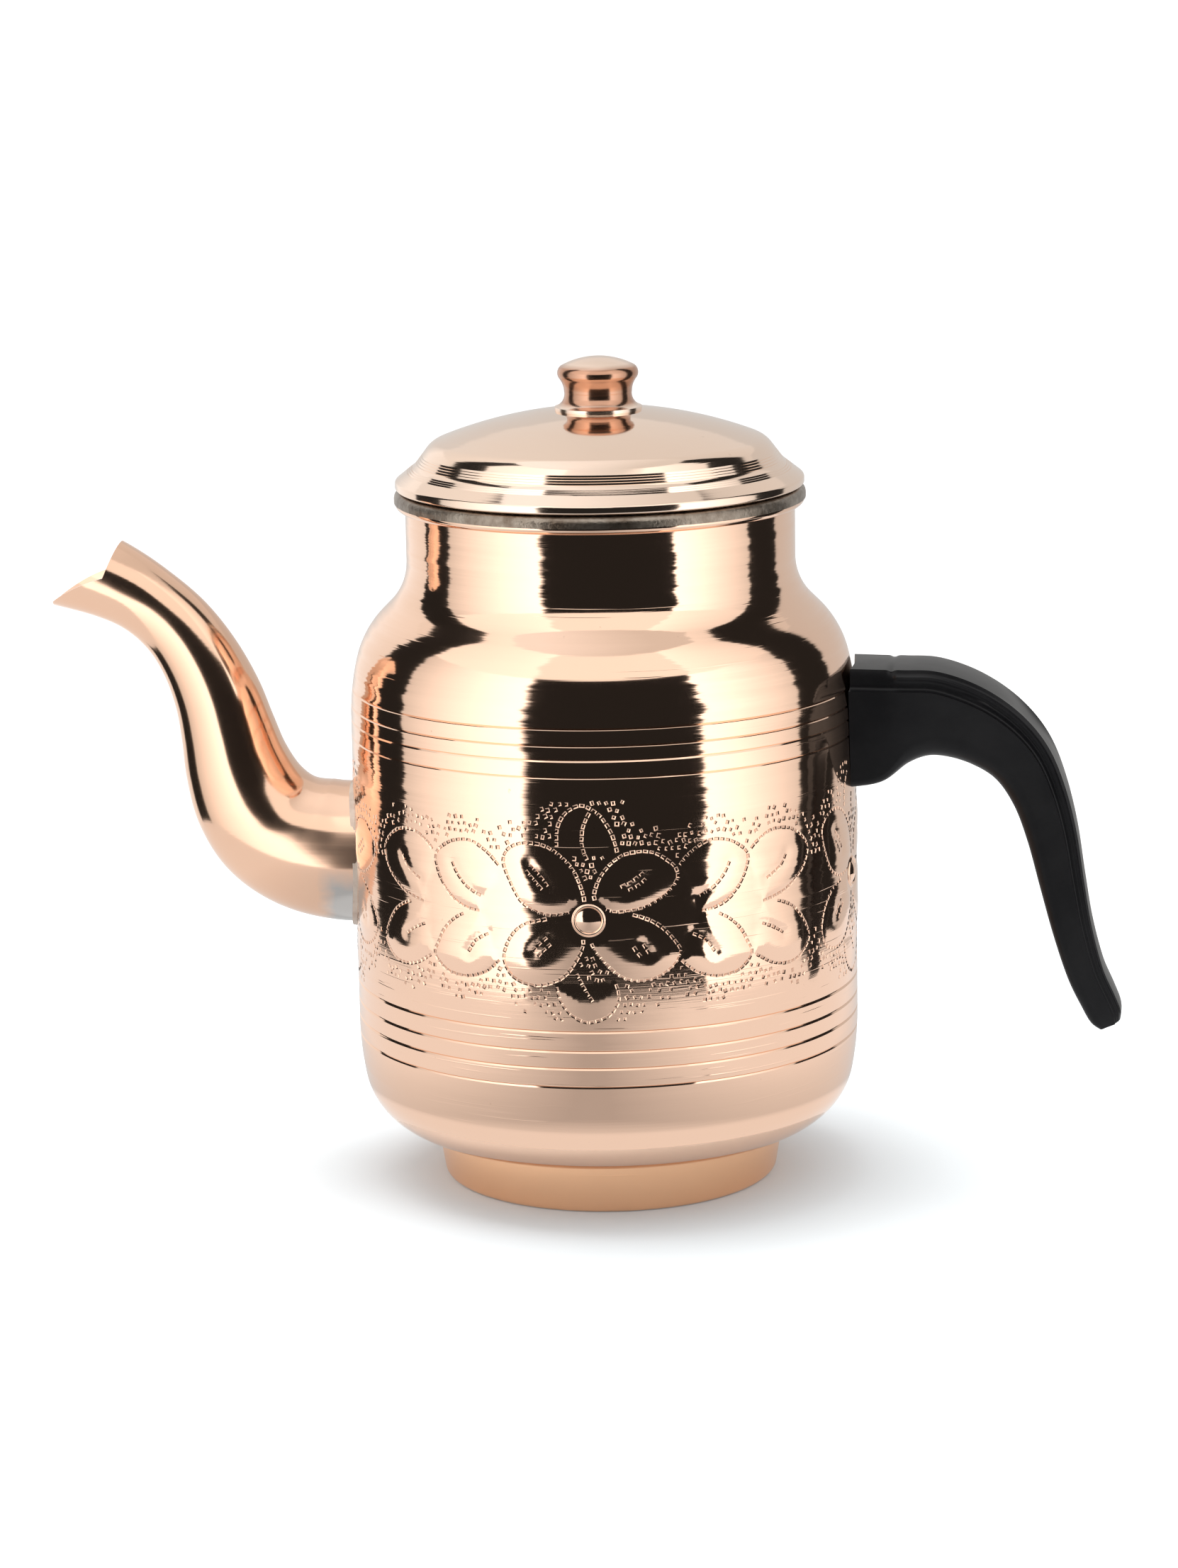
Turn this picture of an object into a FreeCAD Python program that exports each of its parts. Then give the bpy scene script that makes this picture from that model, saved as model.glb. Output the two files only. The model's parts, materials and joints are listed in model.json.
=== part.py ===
import FreeCAD, Part

import math
import os

from FreeCAD import Vector

os.makedirs("parts", exist_ok=True)

# Lidded copper pot: spun vessel on a foot ring, S spout at -X, moulded handle at +X, lift-off lid.
# Millimetres, +Z up. The origin is the centre of the foot's underside, on the vessel's axis.

# Vessel
SHEET = 1.0                 # copper sheet of the vessel, spout and foot
BOTTOM_Z = 15.0             # underside of the flat bottom
BOTTOM_R = 52.1             # the flat bottom ends here
BOWL_BENDS = ((19.3, 79.1), (84.0, 10.9))            # radius and degrees turned, from bottom to wall
SHOULDER_BENDS = ((70.0, 14), (28.0, 31))            # from wall to shoulder
SHOULDER_SLOPE = 3.4        # straight stretch between the shoulder and the neck's bend
NECK_BEND = 17.7
BODY_R = 72.6               # outer radius of the wall
SHOULDER_Z = 136.0          # the wall leaves the cylinder here
NECK_R = 55.35              # outer radius of the neck
LIP_Z = 198.9               # centre of the upper bend of the rolled lip
LIP_BEND = 0.95             # inside radius of the rolled lip
LIP_FLAT = 1.2              # straight stretch between the lip's two bends
LIP_CLOSE = 115             # degrees of the lip's lower bend
TIN = 0.25                  # tin wiped over the copper
WIRE_SLACK = 0.1            # room between the wire and the lip rolled over it

# Turned grooves round the wall
UPPER_GROOVES = (131.3, 136.1, 140.1, 144.7)
LOWER_GROOVES = (43.8, 49.1, 54.0, 59.6)
GROOVE_DEPTH = 0.25
GROOVE_HALF = 0.35

# Foot ring
FOOT_FLANGE_R = 42.0        # inner edge of the turned-in flange
FOOT_FLAT_R = 46.6          # the flat underside ends here
FOOT_BEND = 2.0
FOOT_LEAN = 80.5            # degrees above the floor
FOOT_TOP_Z = BOTTOM_Z - 0.05
FOOT_BEAD_H = 1.1
FOOT_BEAD_W = 1.35

# Spout: centre line in the XZ plane as (x, z, outer radius, rise of its direction in degrees)
SPOUT_STATIONS = (
    (-64.0, 94.0, 20.6, 0),
    (-78.0, 94.2, 20.4, 3),
    (-89.0, 96.8, 19.8, 24),
    (-98.0, 102.1, 18.6, 44),
    (-104.1, 110.4, 17.1, 62),
    (-107.8, 120.4, 15.3, 73),
    (-110.1, 130.4, 13.8, 76),
    (-112.8, 140.4, 12.7, 72),
    (-117.5, 150.9, 11.6, 61),
    (-123.9, 160.3, 10.8, 50),
    (-132.3, 167.8, 10.6, 39),
    (-142.2, 173.6, 11.5, 28),
    (-155.0, 178.8, 12.9, 20),
)
BEAK_NOTCH = (-142.9, 176.1)    # where the steep cut turns into the pouring lip
BEAK_CROWN = (-136.2, 193.2)    # above the upper wall, on the steep cut
BEAK_LIP = (-152.2, 172.7)
BEAK_TIP = (-160.2, 167.4)
STRAINER_HOLE_R = 3.0
STRAINER_PITCH = 10.0
STRAINER_RING = 6           # holes round the middle one
SPOUT_AXIS_Z = 94.0
BEAD_OUT = 0.5              # solder bead round the spout's root
BEAD_ALONG = 1.3

# Handle: centre line as (x, z, half thickness, half width, inner corner radius, direction in degrees)
HANDLE_STATIONS = (
    (64.0, 133.1, 17.2, 14.3, 2.0, 0),
    (72.0, 133.2, 17.2, 14.3, 2.0, 0),
    (80.5, 133.9, 16.3, 14.2, 2.5, 1),
    (87.5, 136.3, 13.8, 14.1, 5.0, 2),
    (95.4, 137.0, 12.6, 13.8, 6.0, -6),
    (104.6, 134.4, 11.5, 13.4, 6.0, -23),
    (113.3, 129.4, 10.3, 12.9, 5.5, -40),
    (120.3, 122.4, 9.0, 12.4, 5.0, -57),
    (125.2, 112.7, 7.9, 11.9, 4.5, -70),
    (128.7, 101.1, 7.2, 11.4, 4.0, -77),
    (131.6, 87.2, 6.4, 11.0, 3.5, -78),
    (134.6, 73.6, 5.7, 10.6, 3.0, -76),
    (138.3, 61.0, 5.3, 10.2, 3.0, -71),
    (142.0, 52.8, 5.1, 9.8, 2.8, -66),
    (144.2, 48.2, 4.7, 9.4, 2.5, -64),
    (145.5, 45.6, 3.2, 8.4, 1.5, -62),
)
GRIP_TAPER = 0.84           # width of the grip's inner side, as a share of the outer
BEVEL_W = 2.5               # flute along both outer edges of the grip
BEVEL_H = 6.0
BEVEL_SHARE = 0.5           # of the half thickness, where the grip is thin
GRIP_GAP = 0.1              # between the grip's root and the wall
PLATE_T = 1.5
PLATE_HALF_W = 10.0
PLATE_Z = (120.0, 150.0)
TANG_X = 90.0
TANG_Z = (131.5, 135.5)
TANG_HALF_W = 6.0
POCKET_SLACK = 0.3
RIVET_Z = (125.0, 145.0)
RIVET_R = 2.0
RIVET_HEAD_R = 3.6
RIVET_HEAD_T = 1.0
RIVET_ROOM = 3.0            # depth of the pocket over each outer head
SCREW_X = 80.5
SCREW_R = 2.0
SCREW_HEAD_R = 3.5
SCREW_HEAD_T = 2.2
SCREW_SLACK = 0.15
SCREW_HEAD_Z = 120.8
SLOT_HALF = 0.5             # half width of the screwdriver slots
NUT_FLATS = 7.0
NUT_T = 3.2

# Lid
LID_SHEET = 0.9
LID_TOP_Z = 223.7
LID_CROWN_R = 126.0
LID_CROWN_TURN = 21.5       # degrees from the middle to the rounded edge of the crown
LID_EDGE = (7.0, 31.5)      # radius and degrees of that edge
LID_SLOPE = 5.0
LID_FLARE = (5.0, 15)       # radius and degrees of the bend out to the flange
HEM_BENDS = (1.0, 0.8)      # upper and lower radius of the hem's outer edge
HEM_DROP = 1.0
HEM_TOP_Z = 204.0           # the flange turns down into the hem here
HEM_R = 55.4                # inner edge of the hem
SKIRT_R = 53.2
SKIRT_T = 0.8
SKIRT_LOW_Z = 189.5
SKIRT_BEAD_Z = (205.0, 209.5)
SKIRT_BEAD_W = 1.9
KNOB_BASE_R = 12.4
KNOB_BASE_Z = 224.0         # top edge of the knob's foot
KNOB_TOP_Z = 238.2
# The knob's side is three arcs, each given by an (r, z) point on it and its end; a round cap closes it
KNOB_FLARE = ((10.4, 225.3), (9.65, 228.3))
KNOB_WAIST = ((10.0, 230.2), (10.9, 231.9))
KNOB_BRIM = ((11.5, 233.7), (10.6, 235.5))
KNOB_SCREW_R = 2.5
KNOB_SCREW_TOP_Z = 233.0
KNOB_HEAD_R = 4.6
KNOB_HEAD_T = 2.4
WASHER_R = 8.0
WASHER_T = 1.2
WASHER_TOP_Z = 222.25       # clear of the curved crown at the washer's edge

Z_AXIS = Vector(0, 0, 1)
X_AXIS = Vector(1, 0, 0)


class Outline:
    """A half section in the XZ plane, walked as tangent lines and arcs; inset moves it to its left."""

    def __init__(self, r, z, heading):
        self.point = (r, z)
        self.heading = heading
        self.moves = []

    def line(self, length):
        a = math.radians(self.heading)
        start = self.point
        self.point = (start[0] + length * math.cos(a), start[1] + length * math.sin(a))
        self.moves.append(("line", start, self.point, self.heading, self.heading, None))
        return self

    def arc(self, radius, turn):
        side = math.copysign(1.0, turn)
        a = math.radians(self.heading)
        centre = (self.point[0] - side * radius * math.sin(a), self.point[1] + side * radius * math.cos(a))
        start, first = self.point, self.heading
        self.heading += turn
        b = math.radians(self.heading)
        self.point = (centre[0] + side * radius * math.sin(b), centre[1] - side * radius * math.cos(b))
        self.moves.append(("arc", start, self.point, first, self.heading, (centre, side, radius)))
        return self

    def edges(self, inset=0.0, last=None):
        made = []
        for kind, start, end, first, final, round_part in self.moves[:last]:
            p = shifted(start, first, inset)
            q = shifted(end, final, inset)
            if kind == "line":
                made.append(Part.LineSegment(p, q).toShape())
                continue
            centre, side, radius = round_part
            middle = math.radians((first + final) / 2)
            reach = side * radius - inset
            m = Vector(centre[0] + reach * math.sin(middle), 0, centre[1] - reach * math.cos(middle))
            made.append(Part.Arc(p, m, q).toShape())
        return made


def shifted(point, heading, inset):
    a = math.radians(heading)
    return Vector(point[0] - inset * math.sin(a), 0, point[1] + inset * math.cos(a))


def ends(edges):
    wire = Part.Wire(edges)
    ordered = wire.OrderedVertexes
    return ordered[0].Point, ordered[-1].Point


def skin(outline, near, far, last=None):
    """Solid of revolution between two insets of an outline."""
    one = outline.edges(near, last)
    two = outline.edges(far, last)
    start_one, end_one = ends(one)
    start_two, end_two = ends(two)
    caps = [Part.LineSegment(start_one, start_two).toShape(), Part.LineSegment(end_one, end_two).toShape()]
    return spun(Part.Wire(Part.__sortEdges__(one + two + caps)))


def spun(wire):
    return Part.Face(wire).revolve(Vector(), Z_AXIS, 360)


def turned(points):
    """Solid of revolution of a closed polygon of (r, z) points."""
    corners = [Vector(r, 0, z) for r, z in points]
    return spun(Part.makePolygon(corners + corners[:1]))


def rod(radius, low, high, x=0.0, y=0.0):
    return Part.makeCylinder(radius, high - low, Vector(x, y, low), Z_AXIS)


def rod_x(radius, low, high, y, z):
    return Part.makeCylinder(radius, high - low, Vector(low, y, z), X_AXIS)


def block(x, y, z):
    size = [b - a for a, b in (x, y, z)]
    return Part.makeBox(*size, Vector(x[0], y[0], z[0]))


def fused(shapes):
    whole = shapes[0]
    for shape in shapes[1:]:
        whole = whole.fuse(shape)
    return whole.removeSplitter()


def vessel_outline():
    path = Outline(0, BOTTOM_Z, 0).line(BOTTOM_R)
    for radius, turn in BOWL_BENDS:
        path.arc(radius, turn)
    path.line(SHOULDER_Z - path.point[1])
    for radius, turn in SHOULDER_BENDS:
        path.arc(radius, turn)
    path.line(SHOULDER_SLOPE).arc(NECK_BEND, 90 - path.heading)
    path.line(LIP_Z - path.point[1])
    path.arc(LIP_BEND, -180).line(LIP_FLAT).arc(LIP_BEND, -LIP_CLOSE)
    return path


def grooves():
    cuts = []
    first_bend = SHOULDER_BENDS[0][0]
    for z in UPPER_GROOVES + LOWER_GROOVES:
        outside = BODY_R + GROOVE_DEPTH
        bottom = BODY_R - GROOVE_DEPTH
        if z > SHOULDER_Z:
            drop = first_bend - math.sqrt(first_bend ** 2 - (z - SHOULDER_Z) ** 2)
            bottom -= drop
            outside -= drop
        mouth = 2 * GROOVE_HALF
        cuts.append(turned([(bottom, z), (outside, z - mouth), (outside, z + mouth)]))
    return Part.makeCompound(cuts)


def strainer_holes():
    low, high = -BODY_R - 5, -BODY_R + 15
    holes = [rod_x(STRAINER_HOLE_R, low, high, 0, SPOUT_AXIS_Z)]
    for k in range(STRAINER_RING):
        a = 2 * math.pi * (k + 0.5) / STRAINER_RING
        y = STRAINER_PITCH * math.cos(a)
        z = SPOUT_AXIS_Z + STRAINER_PITCH * math.sin(a)
        holes.append(rod_x(STRAINER_HOLE_R, low, high, y, z))
    return Part.makeCompound(holes)


def rim_wire():
    path = Outline(NECK_R + WIRE_SLACK, LIP_Z, 90)
    bend = LIP_BEND - WIRE_SLACK
    path.arc(bend, -180).line(LIP_FLAT).arc(bend, -180).line(LIP_FLAT)
    return spun(Part.Wire(path.edges()))


def foot_ring():
    path = Outline(FOOT_FLANGE_R, 0, 0).line(FOOT_FLAT_R - FOOT_FLANGE_R).arc(FOOT_BEND, FOOT_LEAN)
    rise = FOOT_TOP_Z - path.point[1]
    path.line(rise / math.sin(math.radians(FOOT_LEAN)))
    ring = skin(path, 0, SHEET)
    ceiling = block((-BODY_R, BODY_R), (-BODY_R, BODY_R), (FOOT_TOP_Z, FOOT_TOP_Z + 5))
    return ring.cut(ceiling), path.point[0]


def foot_solder(foot_r):
    """Bead in the corner between the foot's leaning wall and the vessel's bottom."""
    low = FOOT_TOP_Z - FOOT_BEAD_H
    lean = FOOT_BEAD_H / math.tan(math.radians(FOOT_LEAN))
    return turned([
        (foot_r - lean, low),
        (foot_r + FOOT_BEAD_W / 2, low + FOOT_BEAD_H / 5),
        (foot_r + FOOT_BEAD_W, FOOT_TOP_Z),
        (foot_r, FOOT_TOP_Z),
    ])


def spout_solid(inset):
    rings = []
    for x, z, radius, rise in SPOUT_STATIONS:
        a = math.radians(rise)
        along = Vector(-math.cos(a), 0, math.sin(a))
        circle = Part.Circle(Vector(x, 0, z), along, radius - inset)
        circle.XAxis = Vector(math.sin(a), 0, math.cos(a))
        rings.append(Part.Wire([circle.toShape()]))
    return Part.makeLoft(rings, True, False)


def beak_cutter():
    """Everything past the spout's end: a steep cut down to the notch, then the pouring lip."""
    def at(point):
        return Vector(point[0], -BODY_R, point[1])
    steep = Part.LineSegment(at(BEAK_CROWN), at(BEAK_NOTCH)).toShape()
    lip = Part.Arc(at(BEAK_NOTCH), at(BEAK_LIP), at(BEAK_TIP)).toShape()
    below = (BEAK_TIP[0] - 4, BEAK_TIP[1] - 5)
    away = (2 * BEAK_TIP[0], below[1])
    high = (away[0], BEAK_CROWN[1] + 10)
    over = (BEAK_CROWN[0], high[1])
    corners = [BEAK_TIP, below, away, high, over, BEAK_CROWN]
    rest = [Part.LineSegment(at(a), at(b)).toShape() for a, b in zip(corners, corners[1:])]
    face = Part.Face(Part.Wire([steep, lip] + rest))
    return face.extrude(Vector(0, 2 * BODY_R, 0))


def grip_section(x, z, half_t, half_w, inner_r, heading):
    a = math.radians(heading)
    up = Vector(-math.sin(a), 0, math.cos(a))
    bevel_h = min(BEVEL_H, BEVEL_SHARE * half_t)
    inner_w = GRIP_TAPER * half_w
    slant = inner_r * (1 - math.sqrt(0.5))

    def at(across, above):
        return Vector(x, across, z) + up * above

    edges = []
    for side in (1, -1):
        top = at(side * (half_w - BEVEL_W), half_t)
        shoulder = at(side * half_w, half_t - bevel_h)
        bend_from = at(side * inner_w, inner_r - half_t)
        bend = at(side * (inner_w - slant), slant - half_t)
        bend_to = at(side * (inner_w - inner_r), -half_t)
        edges.append(Part.LineSegment(top, shoulder).toShape())
        edges.append(Part.LineSegment(shoulder, bend_from).toShape())
        edges.append(Part.Arc(bend_from, bend, bend_to).toShape())
    for across, above in ((half_w - BEVEL_W, half_t), (inner_w - inner_r, -half_t)):
        edges.append(Part.LineSegment(at(across, above), at(-across, above)).toShape())
    return Part.Wire(Part.__sortEdges__(edges))


def grip_blank():
    return Part.makeLoft([grip_section(*station) for station in HANDLE_STATIONS], True, False)


def handle_plate(spread=0.0):
    low, high = PLATE_Z[0] - spread, PLATE_Z[1] + spread
    ring = rod(BODY_R + GRIP_GAP + PLATE_T + spread, low, high).cut(rod(BODY_R + GRIP_GAP, low, high))
    half = PLATE_HALF_W + spread
    return ring.common(block((BODY_R / 2, BODY_R * 2), (-half, half), (low, high)))


def handle_tang(spread=0.0):
    """The tang stands on the plate's outer face and follows it."""
    face = rod(BODY_R + GRIP_GAP + PLATE_T, TANG_Z[0] - 5, TANG_Z[1] + 5)
    half = TANG_HALF_W + spread
    bar = block((BODY_R - 5, TANG_X + spread), (-half, half), (TANG_Z[0] - spread, TANG_Z[1] + spread))
    return bar.cut(face)


def band(inner, outer, z):
    """A stretch of tube concentric with the vessel, tall enough for a rivet's head."""
    low, high = z - 2 * RIVET_HEAD_R, z + 2 * RIVET_HEAD_R
    return rod(outer, low, high).cut(rod(inner, low, high))


def plate_rivets():
    """Round shanks through wall and plate, with a flat head on each side."""
    made = []
    inner_face = BODY_R - SHEET - TIN
    outer_face = BODY_R + GRIP_GAP + PLATE_T
    low, high = inner_face - RIVET_HEAD_T, outer_face + RIVET_HEAD_T
    for z in RIVET_Z:
        shank = rod_x(RIVET_R, low, high, 0, z)
        blank = rod_x(RIVET_HEAD_R, low - 1, high + 1, 0, z)
        heads = [blank.common(band(low, inner_face, z)), blank.common(band(outer_face, high, z))]
        made.append(fused([shank] + heads))
    return made


def rivet_shanks(radius):
    return Part.makeCompound([rod_x(radius, BODY_R - 10, BODY_R + 10, 0, z) for z in RIVET_Z])


def screw_parts():
    """Screw up through the grip's root, the tang and a square nut."""
    head_low = SCREW_HEAD_Z - SCREW_HEAD_T
    nut_top = TANG_Z[1] + NUT_T
    head = rod(SCREW_HEAD_R, head_low, SCREW_HEAD_Z, SCREW_X)
    reach = (SCREW_X - SCREW_HEAD_R, SCREW_X + SCREW_HEAD_R)
    slot = block(reach, (-SLOT_HALF, SLOT_HALF), (head_low, head_low + SCREW_HEAD_T / 2))
    shank = rod(SCREW_R, SCREW_HEAD_Z, nut_top + 1, SCREW_X)
    screw = fused([head, shank]).cut(slot)
    half = NUT_FLATS / 2
    nut = block((SCREW_X - half, SCREW_X + half), (-half, half), (TANG_Z[1], nut_top))
    return screw, nut.cut(rod(SCREW_R, TANG_Z[1], nut_top, SCREW_X))


def handle_grip():
    wall = rod(BODY_R + GRIP_GAP, SKIRT_LOW_Z / 2, SKIRT_LOW_Z)
    below = PLATE_Z[0] - 10
    plate_face = BODY_R + PLATE_T
    nut_half = NUT_FLATS / 2 + POCKET_SLACK
    nut_top = TANG_Z[1] + NUT_T + 1.5
    pockets = [
        handle_plate(POCKET_SLACK),
        handle_tang(POCKET_SLACK),
        rod(SCREW_R + SCREW_SLACK, below, nut_top, SCREW_X),
        rod(SCREW_HEAD_R + POCKET_SLACK, below, SCREW_HEAD_Z, SCREW_X),
        block((BODY_R, SCREW_X + nut_half), (-nut_half, nut_half), (TANG_Z[1], nut_top)),
    ]
    for z in RIVET_Z:
        pockets.append(rod_x(RIVET_HEAD_R + POCKET_SLACK, BODY_R, plate_face + RIVET_ROOM, 0, z))
    return grip_blank().cut(wall).cut(fused(pockets))


def lid_outline(flange=None):
    """Upper surface of the lid, walked from the axis out and down the flange."""
    path = Outline(0, LID_TOP_Z, 0)
    path.arc(LID_CROWN_R, -LID_CROWN_TURN).arc(LID_EDGE[0], -LID_EDGE[1])
    path.line(LID_SLOPE).arc(*LID_FLARE)
    slope = math.sin(math.radians(-path.heading))
    return path.line(flange or (path.point[1] - HEM_TOP_Z) / slope)


def lid_parts():
    """The dome with its solid hem, its lining, and the space under both."""
    outer = lid_outline()
    flange_from = outer.moves[-1][1]
    slope = math.radians(-outer.heading)
    outer.arc(HEM_BENDS[0], -90 - outer.heading).line(HEM_DROP).arc(HEM_BENDS[1], -90)
    outer.line(outer.point[0] - HEM_R)
    under_z = outer.point[1]

    def under(depth):
        """Inner surface as far as the hem."""
        run = (HEM_R + depth * math.sin(slope) - flange_from[0]) / math.cos(slope)
        return lid_outline(run).edges(-depth)

    def closed(edges, corners):
        first, last = ends(edges)
        if first.x > last.x:
            first, last = last, first
        chain = [last] + [Vector(r, 0, z) for r, z in corners] + [first]
        links = [Part.LineSegment(p, q).toShape() for p, q in zip(chain, chain[1:])]
        return spun(Part.Wire(Part.__sortEdges__(edges + links)))

    lining_depth = LID_SHEET + TIN
    shell_edges, lining_edges = under(LID_SHEET), under(lining_depth)
    shell_end, lining_end = ends(shell_edges)[1], ends(lining_edges)[1]
    rise = Part.LineSegment(Vector(HEM_R, 0, under_z), shell_end).toShape()
    axis = Part.LineSegment(Vector(0, 0, LID_TOP_Z), Vector(0, 0, LID_TOP_Z - LID_SHEET)).toShape()
    dome = spun(Part.Wire(Part.__sortEdges__(outer.edges() + [rise, axis] + shell_edges)))
    middle = [Vector(0, 0, LID_TOP_Z - depth) for depth in (LID_SHEET, lining_depth)]
    seam = [Part.LineSegment(shell_end, lining_end).toShape(), Part.LineSegment(*middle).toShape()]
    lining = spun(Part.Wire(Part.__sortEdges__(shell_edges + lining_edges + seam)))
    hollow = closed(lining_edges, ((HEM_R, SKIRT_LOW_Z), (0, SKIRT_LOW_Z)))
    return dome, lining, hollow


def crown_z(r):
    """Height of the lid's crown at a radius."""
    return LID_TOP_Z - LID_CROWN_R + math.sqrt(LID_CROWN_R ** 2 - r ** 2)


def knob():
    """Turned knob with a blind screw hole, its underside following the crown."""
    def at(r, z):
        return Vector(r, 0, z)
    start = (KNOB_BASE_R, KNOB_BASE_Z)
    side = []
    for middle, end in (KNOB_FLARE, KNOB_WAIST, KNOB_BRIM):
        side.append(Part.Arc(at(*start), at(*middle), at(*end)).toShape())
        start = end
    cap_h = KNOB_TOP_Z - start[1]
    cap_r = (start[0] ** 2 + cap_h ** 2) / (2 * cap_h)
    half = math.asin(start[0] / cap_r) / 2
    crest = at(cap_r * math.sin(half), KNOB_TOP_Z - cap_r * (1 - math.cos(half)))
    side.append(Part.Arc(at(*start), crest, at(0, KNOB_TOP_Z)).toShape())
    rim, half_way = KNOB_BASE_R, (KNOB_BASE_R + KNOB_SCREW_R) / 2
    seat = [at(r, crown_z(r)) for r in (KNOB_SCREW_R, half_way, rim)]
    hole = [at(0, KNOB_TOP_Z), at(0, KNOB_SCREW_TOP_Z), at(KNOB_SCREW_R, KNOB_SCREW_TOP_Z), seat[0]]
    rest = [Part.LineSegment(p, q).toShape() for p, q in zip(hole, hole[1:])]
    rest.append(Part.Arc(*seat).toShape())
    rest.append(Part.LineSegment(seat[-1], at(KNOB_BASE_R, KNOB_BASE_Z)).toShape())
    return spun(Part.Wire(Part.__sortEdges__(side + rest)))


def knob_fixing():
    """Slotted screw up into the knob, and the washer under its head."""
    head_top = WASHER_TOP_Z - WASHER_T
    head_low = head_top - KNOB_HEAD_T
    head = rod(KNOB_HEAD_R, head_low, head_top)
    slot_top = head_low + KNOB_HEAD_T / 2
    slot = block((-KNOB_HEAD_R, KNOB_HEAD_R), (-SLOT_HALF, SLOT_HALF), (head_low, slot_top))
    screw = fused([head, rod(KNOB_SCREW_R, head_top, KNOB_SCREW_TOP_Z)]).cut(slot)
    hole = rod(KNOB_SCREW_R + SCREW_SLACK, head_top, WASHER_TOP_Z)
    washer = rod(WASHER_R, head_top, WASHER_TOP_Z).cut(hole)
    return screw, washer


def lid_nodes():
    dome, lining, hollow = lid_parts()
    shaft = rod(KNOB_SCREW_R + SCREW_SLACK, SKIRT_LOW_Z, LID_TOP_Z + 1)
    inside = SKIRT_R - SKIRT_T
    ring = rod(SKIRT_R, SKIRT_LOW_Z, LID_TOP_Z).cut(rod(inside, SKIRT_LOW_Z, LID_TOP_Z))
    low, high = SKIRT_BEAD_Z
    solder = turned([(inside - SKIRT_BEAD_W, high), (inside, low), (inside, high)])
    screw, washer = knob_fixing()
    return {
        "lid_dome": dome.cut(shaft),
        "lid_lining": lining.cut(shaft),
        "lid_skirt": ring.common(hollow),
        "skirt_solder": solder.common(hollow),
        "knob": knob(),
        "knob_screw": screw,
        "knob_washer": washer,
    }


def main():
    vessel = vessel_outline()
    wetted = len(vessel.moves) - 1
    strainer = strainer_holes()
    rivet_room = rivet_shanks(RIVET_R)
    foot, foot_r = foot_ring()
    body = skin(vessel, 0, SHEET).cut(grooves()).cut(strainer).cut(rivet_room)
    lining = skin(vessel, SHEET, SHEET + TIN, wetted).cut(strainer).cut(rivet_room)
    wall = rod(BODY_R, BOTTOM_Z, LIP_Z)
    spout_outer = spout_solid(0)
    spout = spout_outer.cut(spout_solid(SHEET)).cut(wall).cut(beak_cutter())
    bead_room = rod(BODY_R + BEAD_ALONG, BOTTOM_Z, LIP_Z).cut(wall)
    bead = bead_room.common(spout_solid(-BEAD_OUT)).cut(spout_outer)
    screw, nut = screw_parts()
    plate = handle_plate().cut(rivet_room)
    tang = handle_tang().cut(rod(SCREW_R + SCREW_SLACK, *TANG_Z, SCREW_X))

    nodes = {
        "body_shell": body,
        "tin_lining": lining,
        "rim_wire": rim_wire(),
        "foot_ring": foot,
        "foot_solder": foot_solder(foot_r),
        "spout_tube": spout,
        "spout_solder": bead,
        "handle_plate": plate,
        "handle_tang": tang,
        "plate_rivets": Part.makeCompound(plate_rivets()),
        "handle_grip": handle_grip(),
        "handle_screw": screw,
        "handle_nut": nut,
    }
    nodes.update(lid_nodes())
    for name, shape in nodes.items():
        print(name, len(shape.Solids), shape.isValid(), round(shape.Volume, 1))
        shape.exportStep(f"parts/{name}.step")


main()
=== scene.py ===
import json
import math
import random

import bmesh
import bpy
import numpy as np
from mathutils import Matrix, Vector
from mathutils.geometry import delaunay_2d_cdt


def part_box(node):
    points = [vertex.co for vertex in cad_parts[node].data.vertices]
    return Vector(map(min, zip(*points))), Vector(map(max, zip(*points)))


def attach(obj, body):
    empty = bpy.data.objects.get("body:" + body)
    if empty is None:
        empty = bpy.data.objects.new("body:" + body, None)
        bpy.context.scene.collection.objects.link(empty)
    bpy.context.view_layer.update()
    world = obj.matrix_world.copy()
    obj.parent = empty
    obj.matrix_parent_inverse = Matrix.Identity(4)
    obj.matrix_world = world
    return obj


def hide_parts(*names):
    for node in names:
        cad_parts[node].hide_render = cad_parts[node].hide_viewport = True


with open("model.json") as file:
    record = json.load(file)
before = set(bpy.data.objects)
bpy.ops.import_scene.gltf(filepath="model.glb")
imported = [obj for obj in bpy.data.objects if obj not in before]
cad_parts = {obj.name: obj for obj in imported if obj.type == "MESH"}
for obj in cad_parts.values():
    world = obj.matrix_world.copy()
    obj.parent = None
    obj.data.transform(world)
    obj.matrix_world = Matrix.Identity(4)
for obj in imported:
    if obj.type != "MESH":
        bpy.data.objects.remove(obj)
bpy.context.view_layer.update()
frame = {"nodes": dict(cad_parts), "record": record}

MM = 0.001

# Vessel, as in the CAD: millimetres, origin at the centre of the foot's underside
BOTTOM_Z = 15.0
BOTTOM_R = 52.1
BOWL_BENDS = ((19.3, 79.1), (84.0, 10.9))
SHOULDER_BENDS = ((70.0, 14.0), (28.0, 31.0))
SHOULDER_SLOPE = 3.4
NECK_BEND = 17.7
SHOULDER_Z = 136.0
LIP_Z = 198.9
LIP_BEND = 0.95
LIP_FLAT = 1.2
LIP_CLOSE = 115
SHEET = 1.0
BODY_R = 72.6
GROOVES = (43.8, 49.1, 54.0, 59.6, 131.3, 136.1, 140.1, 144.7)
GROOVE_DEPTH = 0.3
GROOVE_HALF = (0.42, 0.34)          # lower and upper set
AROUND = 224                        # segments round every large turned surface

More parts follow.
